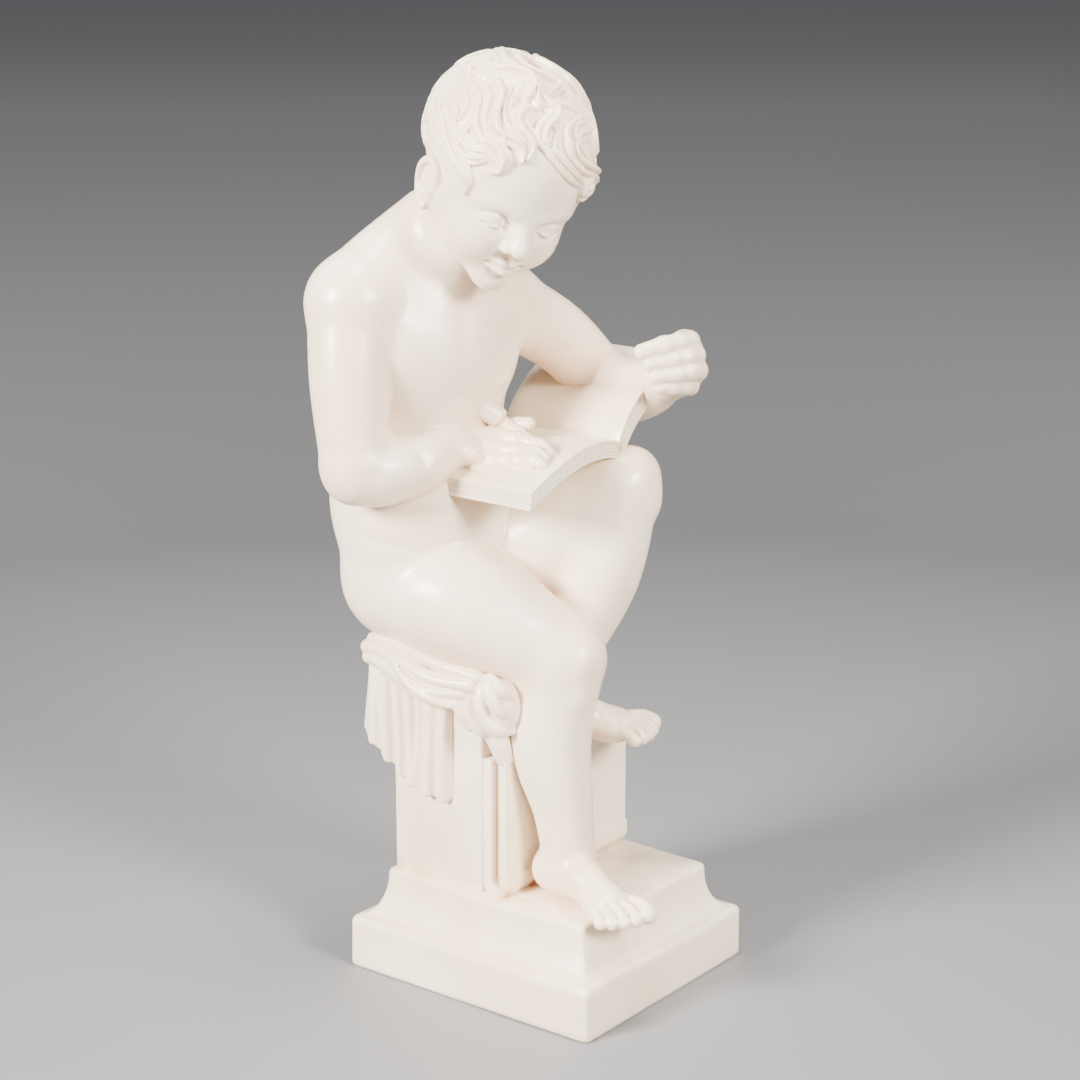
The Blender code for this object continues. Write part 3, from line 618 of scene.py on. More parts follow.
# Hair: an angle down from the whorl, then one round it towards his left, in degrees
WHORL_LEAN = math.radians(17.5)
CROWN = np.array((0, 5.4, 5.6))
CROWN_SIZE = np.array((26.2, 31.2, 26.6))
FRONT_LOCKS = (
    (5.6, 2.3, ((43, -67), (44, -54), (51, -45), (59, -43), (67, -42), (73, -38), (75, -29), (78, -22),
                (86, -20))),
    (4.6, 1.4, ((40, -41), (53, -41), (62, -38), (68, -34), (71, -26), (76, -19), (84, -17))),
    (5.4, 1.9, ((50, -76), (50, -62), (56, -53), (65, -51), (72, -49), (76, -42), (77, -33))),
    (5.6, 1.7, ((54, -71), (59, -61), (67, -57), (75, -53), (81, -46), (82, -38), (87, -31), (94, -31),
                (97, -35))),
    (5.2, 1.5, ((54, -84), (60, -74), (65, -67), (72, -66), (81, -68), (88, -72))),
    (5.0, 1.3, ((75, -57), (83, -59), (90, -59), (94, -53), (93, -45), (89, -39))),
    (5.6, 1.2, ((72, -92), (70, -79), (73, -71), (80, -69), (88, -73))),
    (5.2, 0.9, ((91, -79), (97, -70), (100, -61), (103, -53), (109, -48), (117, -49))),
    (5.0, 0.7, ((80, -98), (84, -88), (89, -83), (96, -81), (99, -73))),
    (5.0, 1.6, ((52, -23), (59, -28), (65, -26), (70, -20), (75, -15), (82, -16))),
    (5.6, 2.3, ((41, -14), (46, -4), (49, 4), (56, 0), (63, -8), (70, -9), (74, -4), (78, 3))),
    (6.4, 2.2, ((45, 5), (47, 19), (52, 29), (57, 15), (63, 7), (71, 8), (79, 14), (87, 30))),
    (6.0, 2.0, ((38, 29), (49, 39), (56, 33), (59, 18), (66, 14), (74, 22), (82, 34), (89, 46))),
    (7.2, 3.2, ((37, -84), (35, -63), (31, -45), (32, -27), (38, -21), (46, -25))),
    (5.6, 3.0, ((19, -111), (25, -66), (28, -44), (30, -27), (35, -17), (42, -17), (50, -15))),
    (5.6, 2.9, ((13, -65), (22, -39), (26, -20), (28, 1), (32, 13), (37, 0), (42, -12))),
    (6.0, 2.5, ((6, 15), (17, 30), (26, 37), (35, 34), (42, 38))),
    (5.6, 2.0, ((12, 70), (24, 62), (34, 66), (42, 56), (50, 60), (58, 50))),
    (5.4, 1.6, ((40, 60), (50, 66), (60, 58), (68, 48), (76, 52), (84, 62))),
    (5.4, 1.9, ((58, -4), (65, 0), (73, -2), (79, 6), (86, 16), (91, 24), (94, 30))),
    (5.8, 2.2, ((55, 40), (61, 39), (64, 20), (73, 15), (80, 24), (85, 42), (90, 55), (95, 58))),
    (5.6, 2.0, ((66, 6), (72, 7), (79, 12), (84, 22), (88, 38), (94, 50), (100, 48))),
    (5.0, 1.6, ((72, -90), (78, -87), (84, -77), (91, -70), (96, -63), (101, -56), (108, -51), (115, -49))),
    (4.8, 1.5, ((64, -84), (71, -79), (78, -70), (85, -65), (88, -57), (89, -49), (88, -41), (92, -34),
                (96, -32))),
    (4.8, 1.2, ((74, -94), (81, -91), (90, -87), (97, -80), (100, -72))),
)


def scalp(fall, turn, lift=0.0):
    """A place on the head, and how far off the skin."""
    fall, turn = math.radians(fall), math.radians(turn)
    whorl = np.array((0, math.sin(WHORL_LEAN), math.cos(WHORL_LEAN)))
    ahead = np.array((0, -math.cos(WHORL_LEAN), math.sin(WHORL_LEAN)))
    side = math.cos(turn) * ahead + np.array((math.sin(turn), 0, 0))
    way = math.cos(fall) * whorl + math.sin(fall) * side
    place = CROWN + way * CROWN_SIZE
    normal = way / CROWN_SIZE
    return in_head(*(place + lift * normal / np.linalg.norm(normal)))


def lock(clay, way, width, height, strands=3):
    """One wavy lock of parallel strands that draw together in the tip."""
    line = smooth_run([(scalp(*p), 0.0) for p in way], 4)[0]
    over = smooth_run([(scalp(*p, 1.0), 0.0) for p in way], 4)[0]
    out = over - line
    out /= np.linalg.norm(out, axis=1)[:, None]
    for _ in range(2):
        line = line + out * clay.buried(line, 5.0)[:, None]
    run = np.gradient(line, axis=0)
    side = np.cross(out, run)
    side /= np.linalg.norm(side, axis=1)[:, None]
    t = np.linspace(0, 1, len(line))
    spread = 0.5 * width * (0.72 + 0.28 * np.sin(math.pi * np.minimum(1, 0.15 + t))) * (1 - 0.85 * t ** 4)
    bell = height * (0.35 + 0.65 * np.sin(math.pi * (0.12 + 0.7 * t)))
    for j in range(strands):
        across = (j - (strands - 1) / 2) / ((strands - 1) / 2)
        lift = bell * (1 - 0.5 * across ** 2) - 0.35
        thick = width / strands * 0.6 * (1 - 0.45 * t ** 4) * (1.08 - 0.16 * abs(across))
        wander = 0.16 * width / strands * np.sin(7 * t + 2.3 * j)
        knots = line + side * (spread * across * 0.86 + wander)[:, None] + out * lift[:, None]
        clay.limb(list(zip(knots, thick)), 0.3, 1)
    if strands == 3:
        for across in (-0.5, 0.5):
            knots = line + side * (spread * across * 0.86)[:, None] + out * (bell * 0.95)[:, None]
            clay.press(list(knots[1:-1]), 0.55, 0.5, 1)


def hair(clay):
    clay.keep()
    for fall, turn in ((40, -44), (40, -33), (35, -8), (45, -74), (38, -20), (33, -30)):
        clay.ball(scalp(fall, turn, -0.6), 3.4, 1)
    for width, height, way in FRONT_LOCKS:
        spine = [np.array(scalp(*p, height * 0.62 - 1.1)) for p in way]
        rise = clay.buried(spine, 5.0)
        above = [scalp(*p, height * 0.62 - 0.1) for p in way]
        spine = [place + (over - place) * up for place, over, up in zip(spine, above, rise)]
        clay.limb([(place, 0.36 * width) for place in spine[:-1]] + [(spine[-1], 0.2 * width)], 0.8, 3)
        lock(clay, way, width, height + 1.1)
    for row, (first, step_on, count, start, end) in enumerate(((62, 19, 11, 44, None), (70, 24, 9, 14, 60))):
        for i in range(count):
            turn = first + step_on * i + 9 * row
            away = (1 - math.cos(math.radians(turn))) / 2
            last = end or 82 + 42 * away
            way = []
            for k in range(7):
                fall = start + 5 * math.sin(2.4 * i) + (last - start) * k / 6
                sway = 5.5 * math.sin(2.1 * k + 1.9 * i + row) / max(0.4, math.sin(math.radians(fall)))
                way.append((fall, turn + sway))
            lock(clay, way, 7.4, 0.9 + 0.5 * row + 0.5 * math.cos(math.radians(turn - 60)))
    curl = scalp(95, 34)
    out = scalp(95, 34, 1.0) - curl
    curl = curl + out * clay.buried([curl], 6.0)[0]
    along = scalp(99, 34) - scalp(91, 34)
    along /= np.linalg.norm(along)
    across = np.cross(out, along)
    clay.ball(curl, (3.4, 3.4, 3.4), 1)
    ring = []
    for j in range(13):
        angle = math.radians(50 * j)
        wide = 3.7 - 0.24 * j
        place = curl + wide * (math.cos(angle) * along + math.sin(angle) * across) + out * (1.2 + 0.16 * j)
        ring.append((place, 1.35 - 0.03 * j))
    clay.limb(ring, 0.25, 3)


def head_clay():
    low, high = HEAD - (44, 48, 52), HEAD + (42, 44, 42)
    clay = Clay(low, high, HEAD_GRAIN)
    head_mass(clay)
    shoulders = Clay(low, high, HEAD_GRAIN)
    trunk(shoulders)
    neck(shoulders)
    arms(shoulders)
    clay.merge(shoulders, 6)
    face(clay)
    for s in (-1, 1):
        ear(clay, s)
    hair(clay)
    return clay


def dive(clay, side, reach=3.0, sink=1.3):
    """Past the neck's cut the clay sinks under its neighbour's skin, so that the join doesn't show."""
    x, y, z = clay.part((0, 0, 0), clay.gap.shape)[1]
    past = (x - NECK_CUT[0]) * NECK_WAY[0] + (y - NECK_CUT[1]) * NECK_WAY[1]
    past = past + (z - NECK_CUT[2]) * NECK_WAY[2]
    past = (past * side).astype(np.float32)
    away = np.sqrt((x - NECK_MIDDLE[0]) ** 2 + (y - NECK_MIDDLE[1]) ** 2 + (z - NECK_MIDDLE[2]) ** 2)
    t = np.clip(past / reach, 0, 1)
    near = np.clip((NECK_REACH - away) / 10, 0, 1)
    clay.gap += (sink * t * t * (3 - 2 * t) * near).astype(np.float32)
    end = past - 1.8 * reach
    if side > 0:
        end = np.where(away < NECK_REACH + 2, end, clay.gap)
    np.maximum(clay.gap, end, out=clay.gap)


def body_clay():
    clay = Clay((-76, -63, 34), (66, 70, 290), BODY_GRAIN)
    trunk(clay)
    neck(clay)
    legs(clay)
    arms(clay)
    feet(clay)
    right_hand(clay)
    left_hand(clay)
    mass = Clay(HEAD - (44, 48, 52), HEAD + (42, 44, 2), BODY_GRAIN)
    head_mass(mass)
    clay.merge(mass, 6)
    return clay


def block_piece(name, low, high, radius, wobble):
    """A squared block with softened, slightly uneven faces."""
    bm = bmesh.new()
    low, high = Vector(low) * MM, Vector(high) * MM
    size, middle = high - low, (high + low) / 2
    bmesh.ops.create_cube(bm, size=1, matrix=Matrix.Translation(middle) @ Matrix.Diagonal((*size, 1)))
    bmesh.ops.bevel(bm, geom=bm.edges[:], offset=radius * MM, segments=4, profile=0.5, affect="EDGES")
    obj = add(name, as_mesh(name, bm))
    uneven(obj.data, wobble)
    obj.data.shade_smooth()
    return obj


def uneven(mesh, amount, scale=28, above=-1.0):
    """Hand finish: faces that aren't quite flat, above a height in metres."""
    for v in mesh.vertices:
        if v.co.z > above:
            v.co += noise.noise_vector(v.co * scale) * amount * MM


def plinth():
    """A moulded base: a plain band, a fillet, a deep cove and a top edge, as rings of inset and height."""
    half = Vector((46.6, 52.5))
    rings = [(1.2, 0.0), (0.35, 0.35), (0.0, 1.2)]
    rings += [(0.0, 1.2 + 15.8 * i / 8) for i in range(1, 9)]
    rings += [(0.3, 18.1), (1.0, 18.8), (1.9, 19.1)]
    for i in range(1, 17):
        angle = math.pi / 2 * i / 16
        rings.append((1.9 + 7.4 * math.sin(angle), 19.1 + 15.6 * (1 - math.cos(angle))))
    rings += [(9.45, 35.3), (9.75, 36.0), (10.5, 36.4)]
    bm = bmesh.new()
    loops = []
    for inset, z in rings:
        x, y = half.x - inset, half.y - inset
        loop = []
        radius = 2.2
        for cx, cy, first in ((x, y, 0), (-x, y, 90), (-x, -y, 180), (x, -y, 270)):
            for k in range(7):
                angle = math.radians(first + 15 * k)
                px = cx - math.copysign(radius, cx) + radius * math.cos(angle)
                py = cy - math.copysign(radius, cy) + radius * math.sin(angle)
                loop.append((px, py))
        full = []
        for a, b in zip(loop, loop[1:] + loop[:1]):
            full.append(a)
            if math.dist(a, b) > 4:
                full += [(a[0] + (b[0] - a[0]) * t / 24, a[1] + (b[1] - a[1]) * t / 24)
                         for t in range(1, 24)]
        loops.append([bm.verts.new((px * MM, py * MM, z * MM)) for px, py in full])
    bm.faces.new(reversed(loops[0]))
    for low, high in zip(loops, loops[1:]):
        for i in range(len(low)):
            j = (i + 1) % len(low)
            bm.faces.new((low[i], low[j], high[j], high[i]))
    bm.faces.new(loops[-1])
    mesh = as_mesh("plinth", bm)
    uneven(mesh, 0.7, 24, 0.5 * MM)
    mesh.shade_smooth()
    return add("plinth", mesh)


def hanging_cloth(clay):
    """The flat fall of cloth on the block's side, with upright pleats and a slanting hem."""
    where, (x, y, z) = clay.window((-46, 8, 60), (-24, 62, 119))
    out = 1.2 + 0 * y * z
    for place, wide, rise in ((17.4, 2.5, 2.3), (24.2, 2.7, 1.9), (29.2, 1.3, 1.0), (33.0, 1.9, 1.8),
                              (38.0, 1.8, 1.6), (43.6, 2.3, 2.0), (50.0, 3.2, 1.6)):
        sway = place + 0.035 * (z - 90) * math.sin(place)
        pleat = 1.45 * rise * np.exp(-np.abs((y - sway) / wide) ** 3.4)
        out = out + pleat * np.clip(1.15 - (z - 66) / 90, 0, 1)
    corner = np.maximum(y - 45, 0)
    out = out - 0.022 * corner ** 2 + 0.5 * np.sin(0.13 * (z + 1.3 * y))
    hem = np.interp(y, (13, 27, 30, 36, 41, 47, 52, 58), (66.9, 67.6, 69, 71.4, 74.4, 79.6, 81.6, 84))
    hem = hem.astype(np.float32) + 0.5 * np.sin(1.7 * y)
    edge = 52.4 + (119.8 - z) * 0.157
    walls = (-BLOCK_SIDE - out - x, x + BLOCK_SIDE - 4, hem - z, y - edge, 15 - y, z - 116)
    gap = walls[0] + 0 * x * y * z
    for wall in walls[1:]:
        h = np.clip(0.5 + 0.5 * (wall - gap) / 1.6, 0, 1)
        gap = gap + (wall - gap) * h + 1.6 * h * (1 - h)
    clay.put(where, (x, y, z), gap.astype(np.float32), 0.6)


def cloth_clay():
    """The cloth over the seat: a twisted roll, a fall at the back corner, pleats and a pouch."""
    clay = Clay((-60, -20, 58), (36, 66, 128), CLOTH_GRAIN)
    spread = Clay((-40, 4, 112), (34, 50, 124), CLOTH_GRAIN)
    spread.limb([((-30, 42, 117.5), 2.6), ((0, 44, 117), 2.4), ((30, 41, 117), 2.2)], 2)
    spread.ball((0, 22, 117.4), (32, 20, 2.4), 3)
    clay.merge(spread, 1)
    hanging_cloth(clay)
    clay.limb([((-31, 46, 116), 3.6), ((-30, 50.5, 100), 3.8), ((-29.5, 52, 84), 3.4)], 1.6)
    clay.limb([((-34, 44, 114.5), 5), ((-36, 28, 113), 5), ((-35.4, 8, 111.6), 4.6)], 2)
    clay.limb([((-33, 44, 118.5), 4.4), ((-34, 27, 118), 4.2), ((-33.6, 4, 116), 3.8)], 2)
    strands = (
        (2.4, (-34, 50, 119.6), (-37, 42, 121.4), (-38.6, 29, 120.2), (-38.8, 16, 117.8), (-37.4, 1, 116)),
        (2.6, (-36, 51, 117), (-39, 42, 118.4), (-41, 29, 115.8), (-41.4, 17, 113.2), (-38.6, 3, 113)),
        (2.5, (-36.5, 50, 113.6), (-39.6, 42, 114.4), (-41.8, 31, 111.4), (-42.2, 19, 109), (-39, 6, 110)),
        (2.3, (-35, 46.5, 112.6), (-39, 39, 110.8), (-40.8, 27, 107.6), (-40.4, 15, 105.6), (-38, 7, 108)),
        (1.7, (-38, 39, 119.4), (-43.2, 30, 113.4), (-43.9, 20, 108), (-41, 10, 105.6), (-38, 6, 107)),
    )
    for size, *places in strands:
        clay.limb([(place, size) for place in places], 0.5, 8)
    clay.press([(-41, 36, 117), (-43.4, 26, 114), (-42.8, 14, 111.4), (-40, 5, 111.6)], 0.9, 0.7)
    clay.press([(-40, 38, 112.6), (-42.6, 28, 109.2), (-42.4, 17, 107), (-40, 9, 108.6)], 0.9, 0.7)
    clay.ball((-31.6, -3, 105), (6, 9, 10.8), 1.0, turned(0, 10, 0))
    crescents = (
        (2.6, (-35.4, 0.4, 115), (-37, 3.4, 110), (-37.8, 3.2, 103), (-36.6, 0.2, 97.8), (-33, -3, 95.6)),
        (2.5, (-36, -1, 115), (-38.2, -1.2, 109), (-38.4, -2.6, 103), (-35.6, -6.4, 98.4), (-31, -8.6, 97.6)),
        (2.5, (-36, -2.2, 115.8), (-37.6, -5, 111.4), (-36.6, -7.6, 106.2), (-32, -10, 103)),
        (2.4, (-35.6, -3.4, 116.4), (-36.2, -7.6, 113.6), (-32.4, -10, 109.6)),
    )
    for size, *places in crescents:
        run = [(place, size * (0.72 if i in (0, len(places) - 1) else 1)) for i, place in enumerate(places)]
        clay.limb(run, 0.45, 8)
    clay.limb([((-37, 9.5, 111), 2.4), ((-39, 7.6, 104.5), 2.4), ((-37, 4.6, 97.5), 1.8)], 0.7)
    clay.limb([((-32.4, -1, 98), 4), ((-31, -3.4, 92), 4), ((-29, -4.2, 86.5), 3.6)], 0.8)
    return clay


def tome():
    """The large closed book: two boards, the band that joins them below, and the leaves between."""
    left, right, top = -32.6, 38.0, TOME_EDGE[2]
    low = PLATFORM - 0.6
    shell = [(-7.1, top), (-7.1, PLATFORM + 7.9), (-7.9, PLATFORM + 7.2), (-8.1, PLATFORM + 3)]
    shell += [(-7.3, PLATFORM + 0.8), (-5.6, low), (1.2, low), (2.3, PLATFORM + 2)]
    shell += [(2.9, PLATFORM + 6), (2.9, top)]
    inner = [(-0.9, top), (-0.9, PLATFORM + 6), (-1.5, PLATFORM + 3.6), (-2.6, PLATFORM + 2.6)]
    inner += [(-4.4, PLATFORM + 2.6), (-5.6, PLATFORM + 3.6), (-6.0, PLATFORM + 6), (-6.0, top)]
    sections = []
    for i in range(25):
        x = left + (right - left) * i / 24
        sections.append([(x * MM, y * MM, z * MM) for y, z in shell + inner])
    cover = loft("tome_cover", sections)
    soften(cover, 0.55, 3, 40)
    uneven(cover.data, 0.3)
    cover.data.shade_smooth()
    low_corner = (left + 3.2, -6.3, PLATFORM + 1.6)
    leaves = block_piece("tome_leaves", low_corner, (right - 1.7, -0.5, top - 1.8), 0.6, 0.3)
    return [cover, leaves]


# The open book on the lap
GUTTER = seat(18.8, -39, 71.6)
BOOK_TALL = 50.0


def book_line(width, slope, bulge, lift, count):
    """One half's line from the gutter outwards: how far out and how high."""
    line = []
    for i in range(count + 1):
        t = i / count
        rise = bulge * math.sin(math.pi * t ** 0.8) + lift * min(1, t * 6) ** 0.5
        along = width * t
        out = along * math.cos(slope) - rise * math.sin(slope)
        line.append((out, along * math.sin(slope) + rise * math.cos(slope)))
    return line


def leaf(name, side, width, slope, bulge, lift, thick, inset=0.0):
    """A curved leaf of the open book; side is -1 for the half on his right.

    A core has an inset: it lies that far inside the leaves, and reaches past the gutter to close it.
    """
    over = book_line(width, slope, bulge, lift, 22)
    if inset:
        over = [(-2.4, -1.8), (-1.2, -0.8)] + over
    rows = []
    for j in range(13):
        y = GUTTER[1] + inset + (BOOK_TALL - 2 * inset) * j / 12
        dip = 0.35 * math.sin(3 * j / 12) * 0.6 - inset
        outline = [(x, z + dip) for x, z in over] + [(x, z + dip - thick) for x, z in over[::-1]]
        places = [(GUTTER[0] + side * x, y, GUTTER[2] + z) for x, z in outline]
        rows.append([Vector(place) * MM for place in places])
    return loft(name, rows)


def leaf_stack(obj, count, spacing, slip, drift, finish):
    """Geometry Nodes: a stack of leaves under the top one, each a little out of line."""
    tree = bpy.data.node_groups.new("leaf_stack", "GeometryNodeTree")
    face = tree.interface
    face.new_socket("Geometry", in_out="INPUT", socket_type="NodeSocketGeometry")
    sockets = {}
    for label, kind, value in (("Leaves", "NodeSocketInt", count), ("Spacing", "NodeSocketFloat", spacing),
                               ("Slip", "NodeSocketFloat", slip), ("Drift", "NodeSocketFloat", drift),
                               ("Seed", "NodeSocketInt", 7)):
        socket = face.new_socket(label, in_out="INPUT", socket_type=kind)
        socket.default_value = value
        sockets[label] = (socket.identifier, value)
    face.new_socket("Geometry", in_out="OUTPUT", socket_type="NodeSocketGeometry")
    nodes, links = tree.nodes, tree.links
    given = nodes.new("NodeGroupInput")
    result = nodes.new("NodeGroupOutput")
    line = nodes.new("GeometryNodeMeshLine")
    step_down = nodes.new("ShaderNodeCombineXYZ")
    drop = nodes.new("ShaderNodeMath")
    drop.operation = "MULTIPLY"
    drop.inputs[1].default_value = -1
    links.new(given.outputs["Spacing"], drop.inputs[0])
    links.new(drop.outputs[0], step_down.inputs["Z"])
    links.new(given.outputs["Drift"], step_down.inputs["X"])
    links.new(given.outputs["Leaves"], line.inputs["Count"])
    links.new(step_down.outputs[0], line.inputs["Offset"])
    spread = nodes.new("FunctionNodeRandomValue")
    spread.data_type = "FLOAT_VECTOR"
    spread.inputs["Min"].default_value = (-1, -1, 0)
    spread.inputs["Max"].default_value = (1, 1, 0)
    links.new(given.outputs["Seed"], spread.inputs["Seed"])
    scale = nodes.new("ShaderNodeVectorMath")
    scale.operation = "SCALE"
    links.new(spread.outputs["Value"], scale.inputs[0])
    links.new(given.outputs["Slip"], scale.inputs["Scale"])
    shift = nodes.new("GeometryNodeSetPosition")
    links.new(line.outputs["Mesh"], shift.inputs["Geometry"])
    links.new(scale.outputs[0], shift.inputs["Offset"])
    place = nodes.new("GeometryNodeInstanceOnPoints")
    links.new(shift.outputs["Geometry"], place.inputs["Points"])
    links.new(given.outputs["Geometry"], place.inputs["Instance"])
    real = nodes.new("GeometryNodeRealizeInstances")
    links.new(place.outputs["Instances"], real.inputs[0])
    coat = nodes.new("GeometryNodeSetMaterial")
    coat.inputs["Material"].default_value = finish
    links.new(real.outputs[0], coat.inputs["Geometry"])
    links.new(coat.outputs[0], result.inputs[0])
    mod = obj.modifiers.new("leaves", "NODES")
    mod.node_group = tree
    for identifier, value in sockets.values():
        mod[identifier] = value
    return bake(obj)


def open_book(finish):
    """Two halves of curved leaves between the covers."""
    pieces = []
    halves = (("right_leaves", -1, 50.0, -10, 4.6, -0.08, 0.95), ("left_leaves", 1, 42.5, 36, 4.2, 0.5, 1.5))
    for name, side, width, slope, bulge, drift, thick in halves:
        slope = math.radians(slope)
        half = leaf(name, side, width, slope, bulge, 0.5, thick)
        leaf_stack(half, 6, 1.05 * MM, 0.17 * MM, drift * MM, finish)
        soften(half, 0.2, 2, 50)
        half.data.shade_smooth()
        pieces.append(half)
        core = leaf(name + "_core", side, width - 0.6, slope, bulge, 0.5, 6.0, 0.4)
        core.data.shade_smooth()
        pieces.append(core)
    return pieces


def quill_clay():
    """A stubby carved feather with its shaft down to the page."""
    clay = Clay(seat(-26, -42, 62), seat(2, 8, 96), HEAD_GRAIN)
    clay.limb([(seat(-16.8, -0.6, 87), 3.4), (seat(-13.4, -4, 85), 3.9), (seat(-9.8, -8.2, 81.4), 3.7)], 0.5)
    clay.limb([(seat(-13.6, -1.2, 86), 2.6), (seat(-8.4, -6.6, 81.6), 2.9)], 0.5)
    clay.ball(seat(-7.2, -10.2, 78.2), (5, 3.2, 5), 0.4, turned(-40, 42), carve=True)
    clay.limb([(seat(-8.8, -8.6, 79.8), 2.7), (seat(-8, -18.3, 75.6), 2.1), (seat(-9.2, -29, 72.6), 1.5),
               (seat(-9.8, -34, 70.8), 0.8)], 0.8)
    clay.press([seat(-18.4, -3.4, 88.2), seat(-14.4, -6.6, 86.4), seat(-10.4, -10, 82.6)], 0.45, 0.7)
    return clay


# Old residue and stains: place and size in mm, colour, strength
MARKS = (
    ((-33.6, 30, 37), 5.5, (0.62, 0.36, 0.18), 0.5), ((-33.6, 40, 37), 5, (0.62, 0.36, 0.18), 0.4),
    ((-33, -7, 37), 5, (0.62, 0.33, 0.15), 0.55), ((-30, -13, 37), 5, (0.62, 0.36, 0.18), 0.45),
    ((-17.7, -7.5, 37), 3, (0.6, 0.16, 0.08), 0.6), ((-33, -45.4, 34.6), 4.2, (0.72, 0.6, 0.28), 0.4),
    ((14.8, -45.2, 33), 3.4, (0.72, 0.55, 0.3), 0.4), ((-34, -42.3, 93.4), 1.5, (0.3, 0.17, 0.1), 0.7),
    ((-60, 17.4, 192.2), 1.9, (0.45, 0.42, 0.38), 0.5), ((-46, -52, 9), 8, (0.6, 0.58, 0.52), 0.35),
    ((-16, -3, 187), 5, (0.66, 0.4, 0.22), 0.45), ((-12, -9, 190.5), 2.6, (0.5, 0.25, 0.12), 0.4),
    ((34, -30, 207), 4, (0.7, 0.5, 0.32), 0.3),
)


def marks(nodes, links, where, cloud, color):
    """Old residue in the seams and small stains, each fading out from its own place."""
    for place, size, tone, strength in MARKS:
        away = nodes.new("ShaderNodeVectorMath")
        away.operation = "DISTANCE"
        away.inputs[1].default_value = [c * MM for c in place]
        links.new(where.outputs["Object"], away.inputs[0])
        fade = nodes.new("ShaderNodeMapRange")
        fade.interpolation_type = "SMOOTHSTEP"
        fade.inputs["From Min"].default_value = 0.15 * size * MM
        fade.inputs["From Max"].default_value = size * MM
        fade.inputs["To Min"].default_value = 2.4 * strength
        fade.inputs["To Max"].default_value = 0
        links.new(away.outputs["Value"], fade.inputs["Value"])
        broken = nodes.new("ShaderNodeMath")
        broken.operation = "MULTIPLY"
        links.new(fade.outputs["Result"], broken.inputs[0])
        links.new(cloud, broken.inputs[1])
        blend = nodes.new("ShaderNodeMixRGB")
        blend.inputs["Color2"].default_value = (*tone, 1)
        links.new(broken.outputs["Value"], blend.inputs["Fac"])
        links.new(color, blend.inputs["Color1"])
        color = blend.outputs["Color"]
    return color


def pattern(nodes, links, where, scale, detail):
    """A cloudy pattern that stays with the piece."""
    cloud = nodes.new("ShaderNodeTexNoise")
    cloud.inputs["Scale"].default_value = scale
    cloud.inputs["Detail"].default_value = detail
    links.new(where.outputs["Object"], cloud.inputs["Vector"])
    return cloud.outputs["Fac"]


def stone(name):
    """Warm ivory cast stone with a soft polish, faint clouding and a fine skin."""
    mat = bpy.data.materials.new(name)
    mat.use_nodes = True
    nodes, links = mat.node_tree.nodes, mat.node_tree.links
    shader = nodes["Principled BSDF"]
    shader.inputs["Subsurface Weight"].default_value = 0.3
    shader.inputs["Subsurface Radius"].default_value = (1.0, 0.62, 0.38)
    shader.inputs["Subsurface Scale"].default_value = 0.0024
    shader.inputs["IOR"].default_value = 1.48
    where = nodes.new("ShaderNodeTexCoord")
    cloud = pattern(nodes, links, where, 22, 4)
    tint = nodes.new("ShaderNodeValToRGB")
    tint.color_ramp.elements[0].position = 0.35
    tint.color_ramp.elements[0].color = (0.86, 0.68, 0.5, 1)
    tint.color_ramp.elements[1].position = 0.65
    tint.color_ramp.elements[1].color = (0.94, 0.8, 0.635, 1)
    links.new(cloud, tint.inputs["Fac"])
    links.new(marks(nodes, links, where, cloud, tint.outputs["Color"]), shader.inputs["Base Color"])
    rub = pattern(nodes, links, where, 60, 3)
    gloss = nodes.new("ShaderNodeMapRange")
    gloss.inputs["To Min"].default_value = 0.2
    gloss.inputs["To Max"].default_value = 0.36
    links.new(rub, gloss.inputs["Value"])
    links.new(gloss.outputs["Result"], shader.inputs["Roughness"])
    grain = pattern(nodes, links, where, 420, 3)
    bump = nodes.new("ShaderNodeBump")
    bump.inputs["Strength"].default_value = 0.06
    bump.inputs["Distance"].default_value = 0.0004
    links.new(grain, bump.inputs["Height"])
    links.new(bump.outputs["Normal"], shader.inputs["Normal"])
    return mat


def floor_painted_light():
    """Painted light on the floor: pale near the statue as a painted pool of light, greyer behind it as
    painted shade, lighter again far off.
    """
    mat = bpy.data.materials.new("floor_painted_light")
    mat.use_nodes = True
    nodes, links = mat.node_tree.nodes, mat.node_tree.links
    shader = nodes["Principled BSDF"]
    shader.inputs["Roughness"].default_value = 0.6
    where = nodes.new("ShaderNodeTexCoord")
    away = nodes.new("ShaderNodeVectorMath")
    away.operation = "LENGTH"
    links.new(where.outputs["Object"], away.inputs[0])
    reach = nodes.new("ShaderNodeMapRange")
    reach.inputs["From Max"].default_value = 3.0
    links.new(away.outputs["Value"], reach.inputs["Value"])
    # Painted light and shade: the floor's tone falls and rises with distance from the statue, not with the
    # lamps
    tone = nodes.new("ShaderNodeValToRGB")
    tone.color_ramp.elements[0].color = (0.23, 0.23, 0.238, 1)
    tone.color_ramp.elements[1].color = (0.55, 0.55, 0.57, 1)
    middle = tone.color_ramp.elements.new(0.2)
    middle.color = (0.13, 0.13, 0.135, 1)
    links.new(reach.outputs["Result"], tone.inputs["Fac"])
    links.new(tone.outputs["Color"], shader.inputs["Base Color"])
    return mat


# The studio: what the lamps point at, and the photograph's camera, in metres
LAMP_AIM = (0, 0, 0.16)
CAMERA_PLACE = (-0.684507, -0.523328, 0.391804)
CAMERA_BACK = (-0.764620, -0.587986, 0.263873)
CAMERA_SENSOR = 36

# The photograph's side and the camera's focal length, in its pixels
PHOTO_SIDE = 1080
PHOTO_LENS = 2600.0


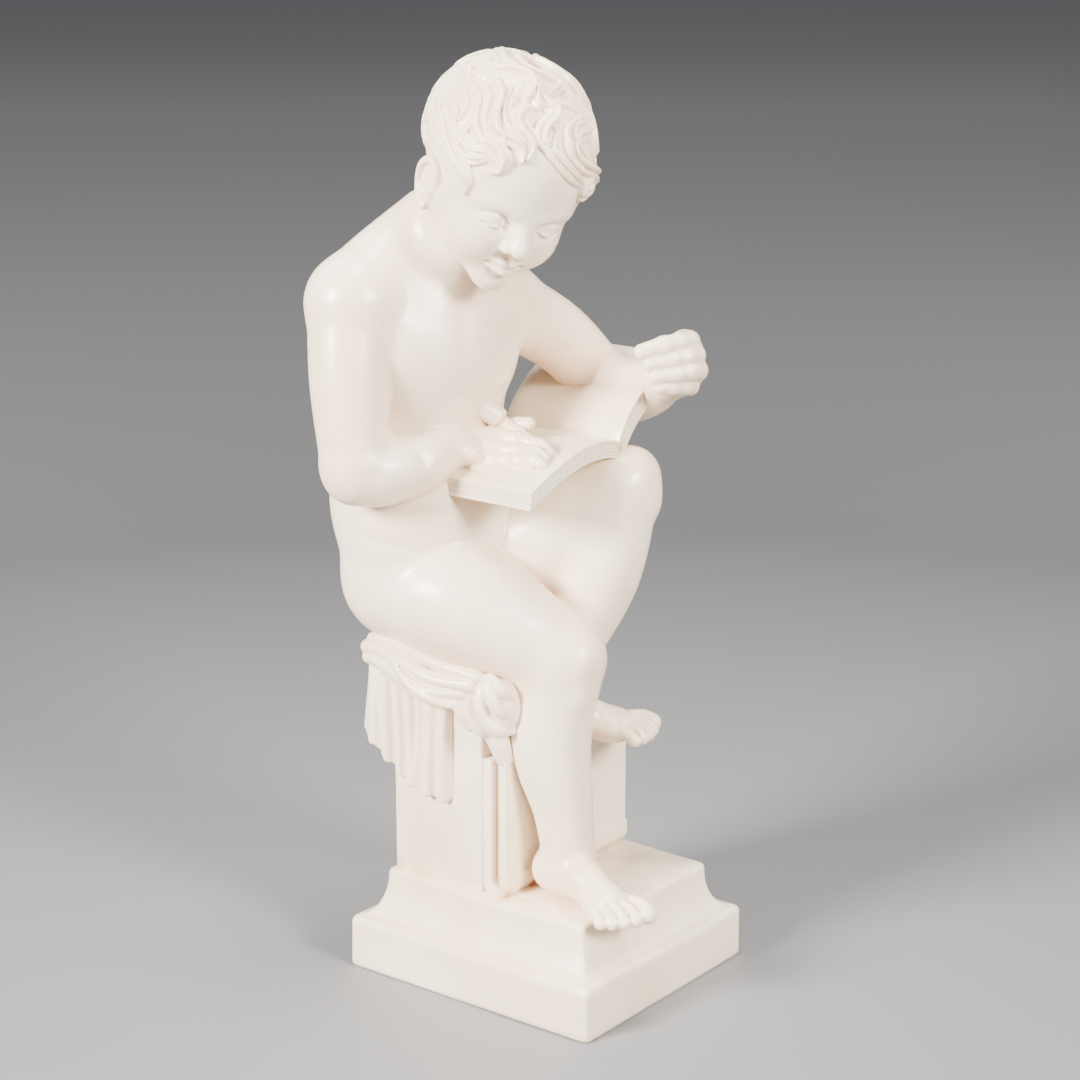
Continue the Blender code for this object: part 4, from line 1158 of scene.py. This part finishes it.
def lamp(name, place, size, power, color):
    light = bpy.data.lights.new(name, "AREA")
    light.size = size
    light.energy = power
    light.color = color
    obj = add(name, light)
    obj.location = place
    obj.rotation_mode = "QUATERNION"
    obj.rotation_quaternion = (Vector(place) - Vector(LAMP_AIM)).to_track_quat("Z", "Y")


def studio():
    bm = bmesh.new()
    bmesh.ops.create_grid(bm, x_segments=2, y_segments=2, size=30)
    ground = add("floor", as_mesh("floor", bm))
    ground.data.materials.append(floor_painted_light())
    world = bpy.data.worlds.new("studio")
    bpy.context.scene.world = world
    world.use_nodes = True
    world.node_tree.nodes["Background"].inputs["Color"].default_value = (0.48, 0.48, 0.5, 1)
    world.node_tree.nodes["Background"].inputs["Strength"].default_value = 0.3
    lamp("left", (-1.25, 0.35, 0.75), 0.4, 92, (1, 0.97, 0.92))
    lamp("front", (-0.2, -1.3, 0.8), 0.36, 50, (1, 0.97, 0.92))
    lamp("above", (0, -0.1, 1.3), 0.4, 16, (1, 0.98, 0.95))
    lamp("right", (1.1, -0.6, 0.8), 0.6, 5, (1, 0.98, 0.96))


def photo_camera():
    camera = bpy.data.cameras.new("photo_camera")
    camera.sensor_width = CAMERA_SENSOR
    camera.lens = PHOTO_LENS / PHOTO_SIDE * CAMERA_SENSOR
    camera.clip_start = 0.01
    camera.clip_end = 20
    obj = add("photo_camera", camera)
    obj.location = CAMERA_PLACE
    obj.rotation_mode = "QUATERNION"
    obj.rotation_quaternion = Vector(CAMERA_BACK).to_track_quat("Z", "Y")
    bpy.context.scene.camera = obj


alabaster = stone("ivory_alabaster")
body = body_clay()
dive(body, 1)
pieces = [skin("boy", body, 190000, 3)]
del body
bust = head_clay()
dive(bust, -1)
pieces.append(skin("head", bust, 190000))
del bust
pieces.append(skin("drapery", cloth_clay(), 90000))
pieces.append(skin("quill", quill_clay(), 12000))
pieces.append(plinth())
block_low = (-BLOCK_SIDE, BLOCK_FRONT, PLATFORM - 0.8)
pieces.append(block_piece("seat_block", block_low, (BLOCK_SIDE, BLOCK_BACK, SEAT[2]), 1.0, 0.35))
pieces += tome()
pieces += open_book(alabaster)
for piece in pieces:
    piece.data.materials.clear()
    piece.data.materials.append(alabaster)
    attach(piece, "root")
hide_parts("statue")
studio()
photo_camera()
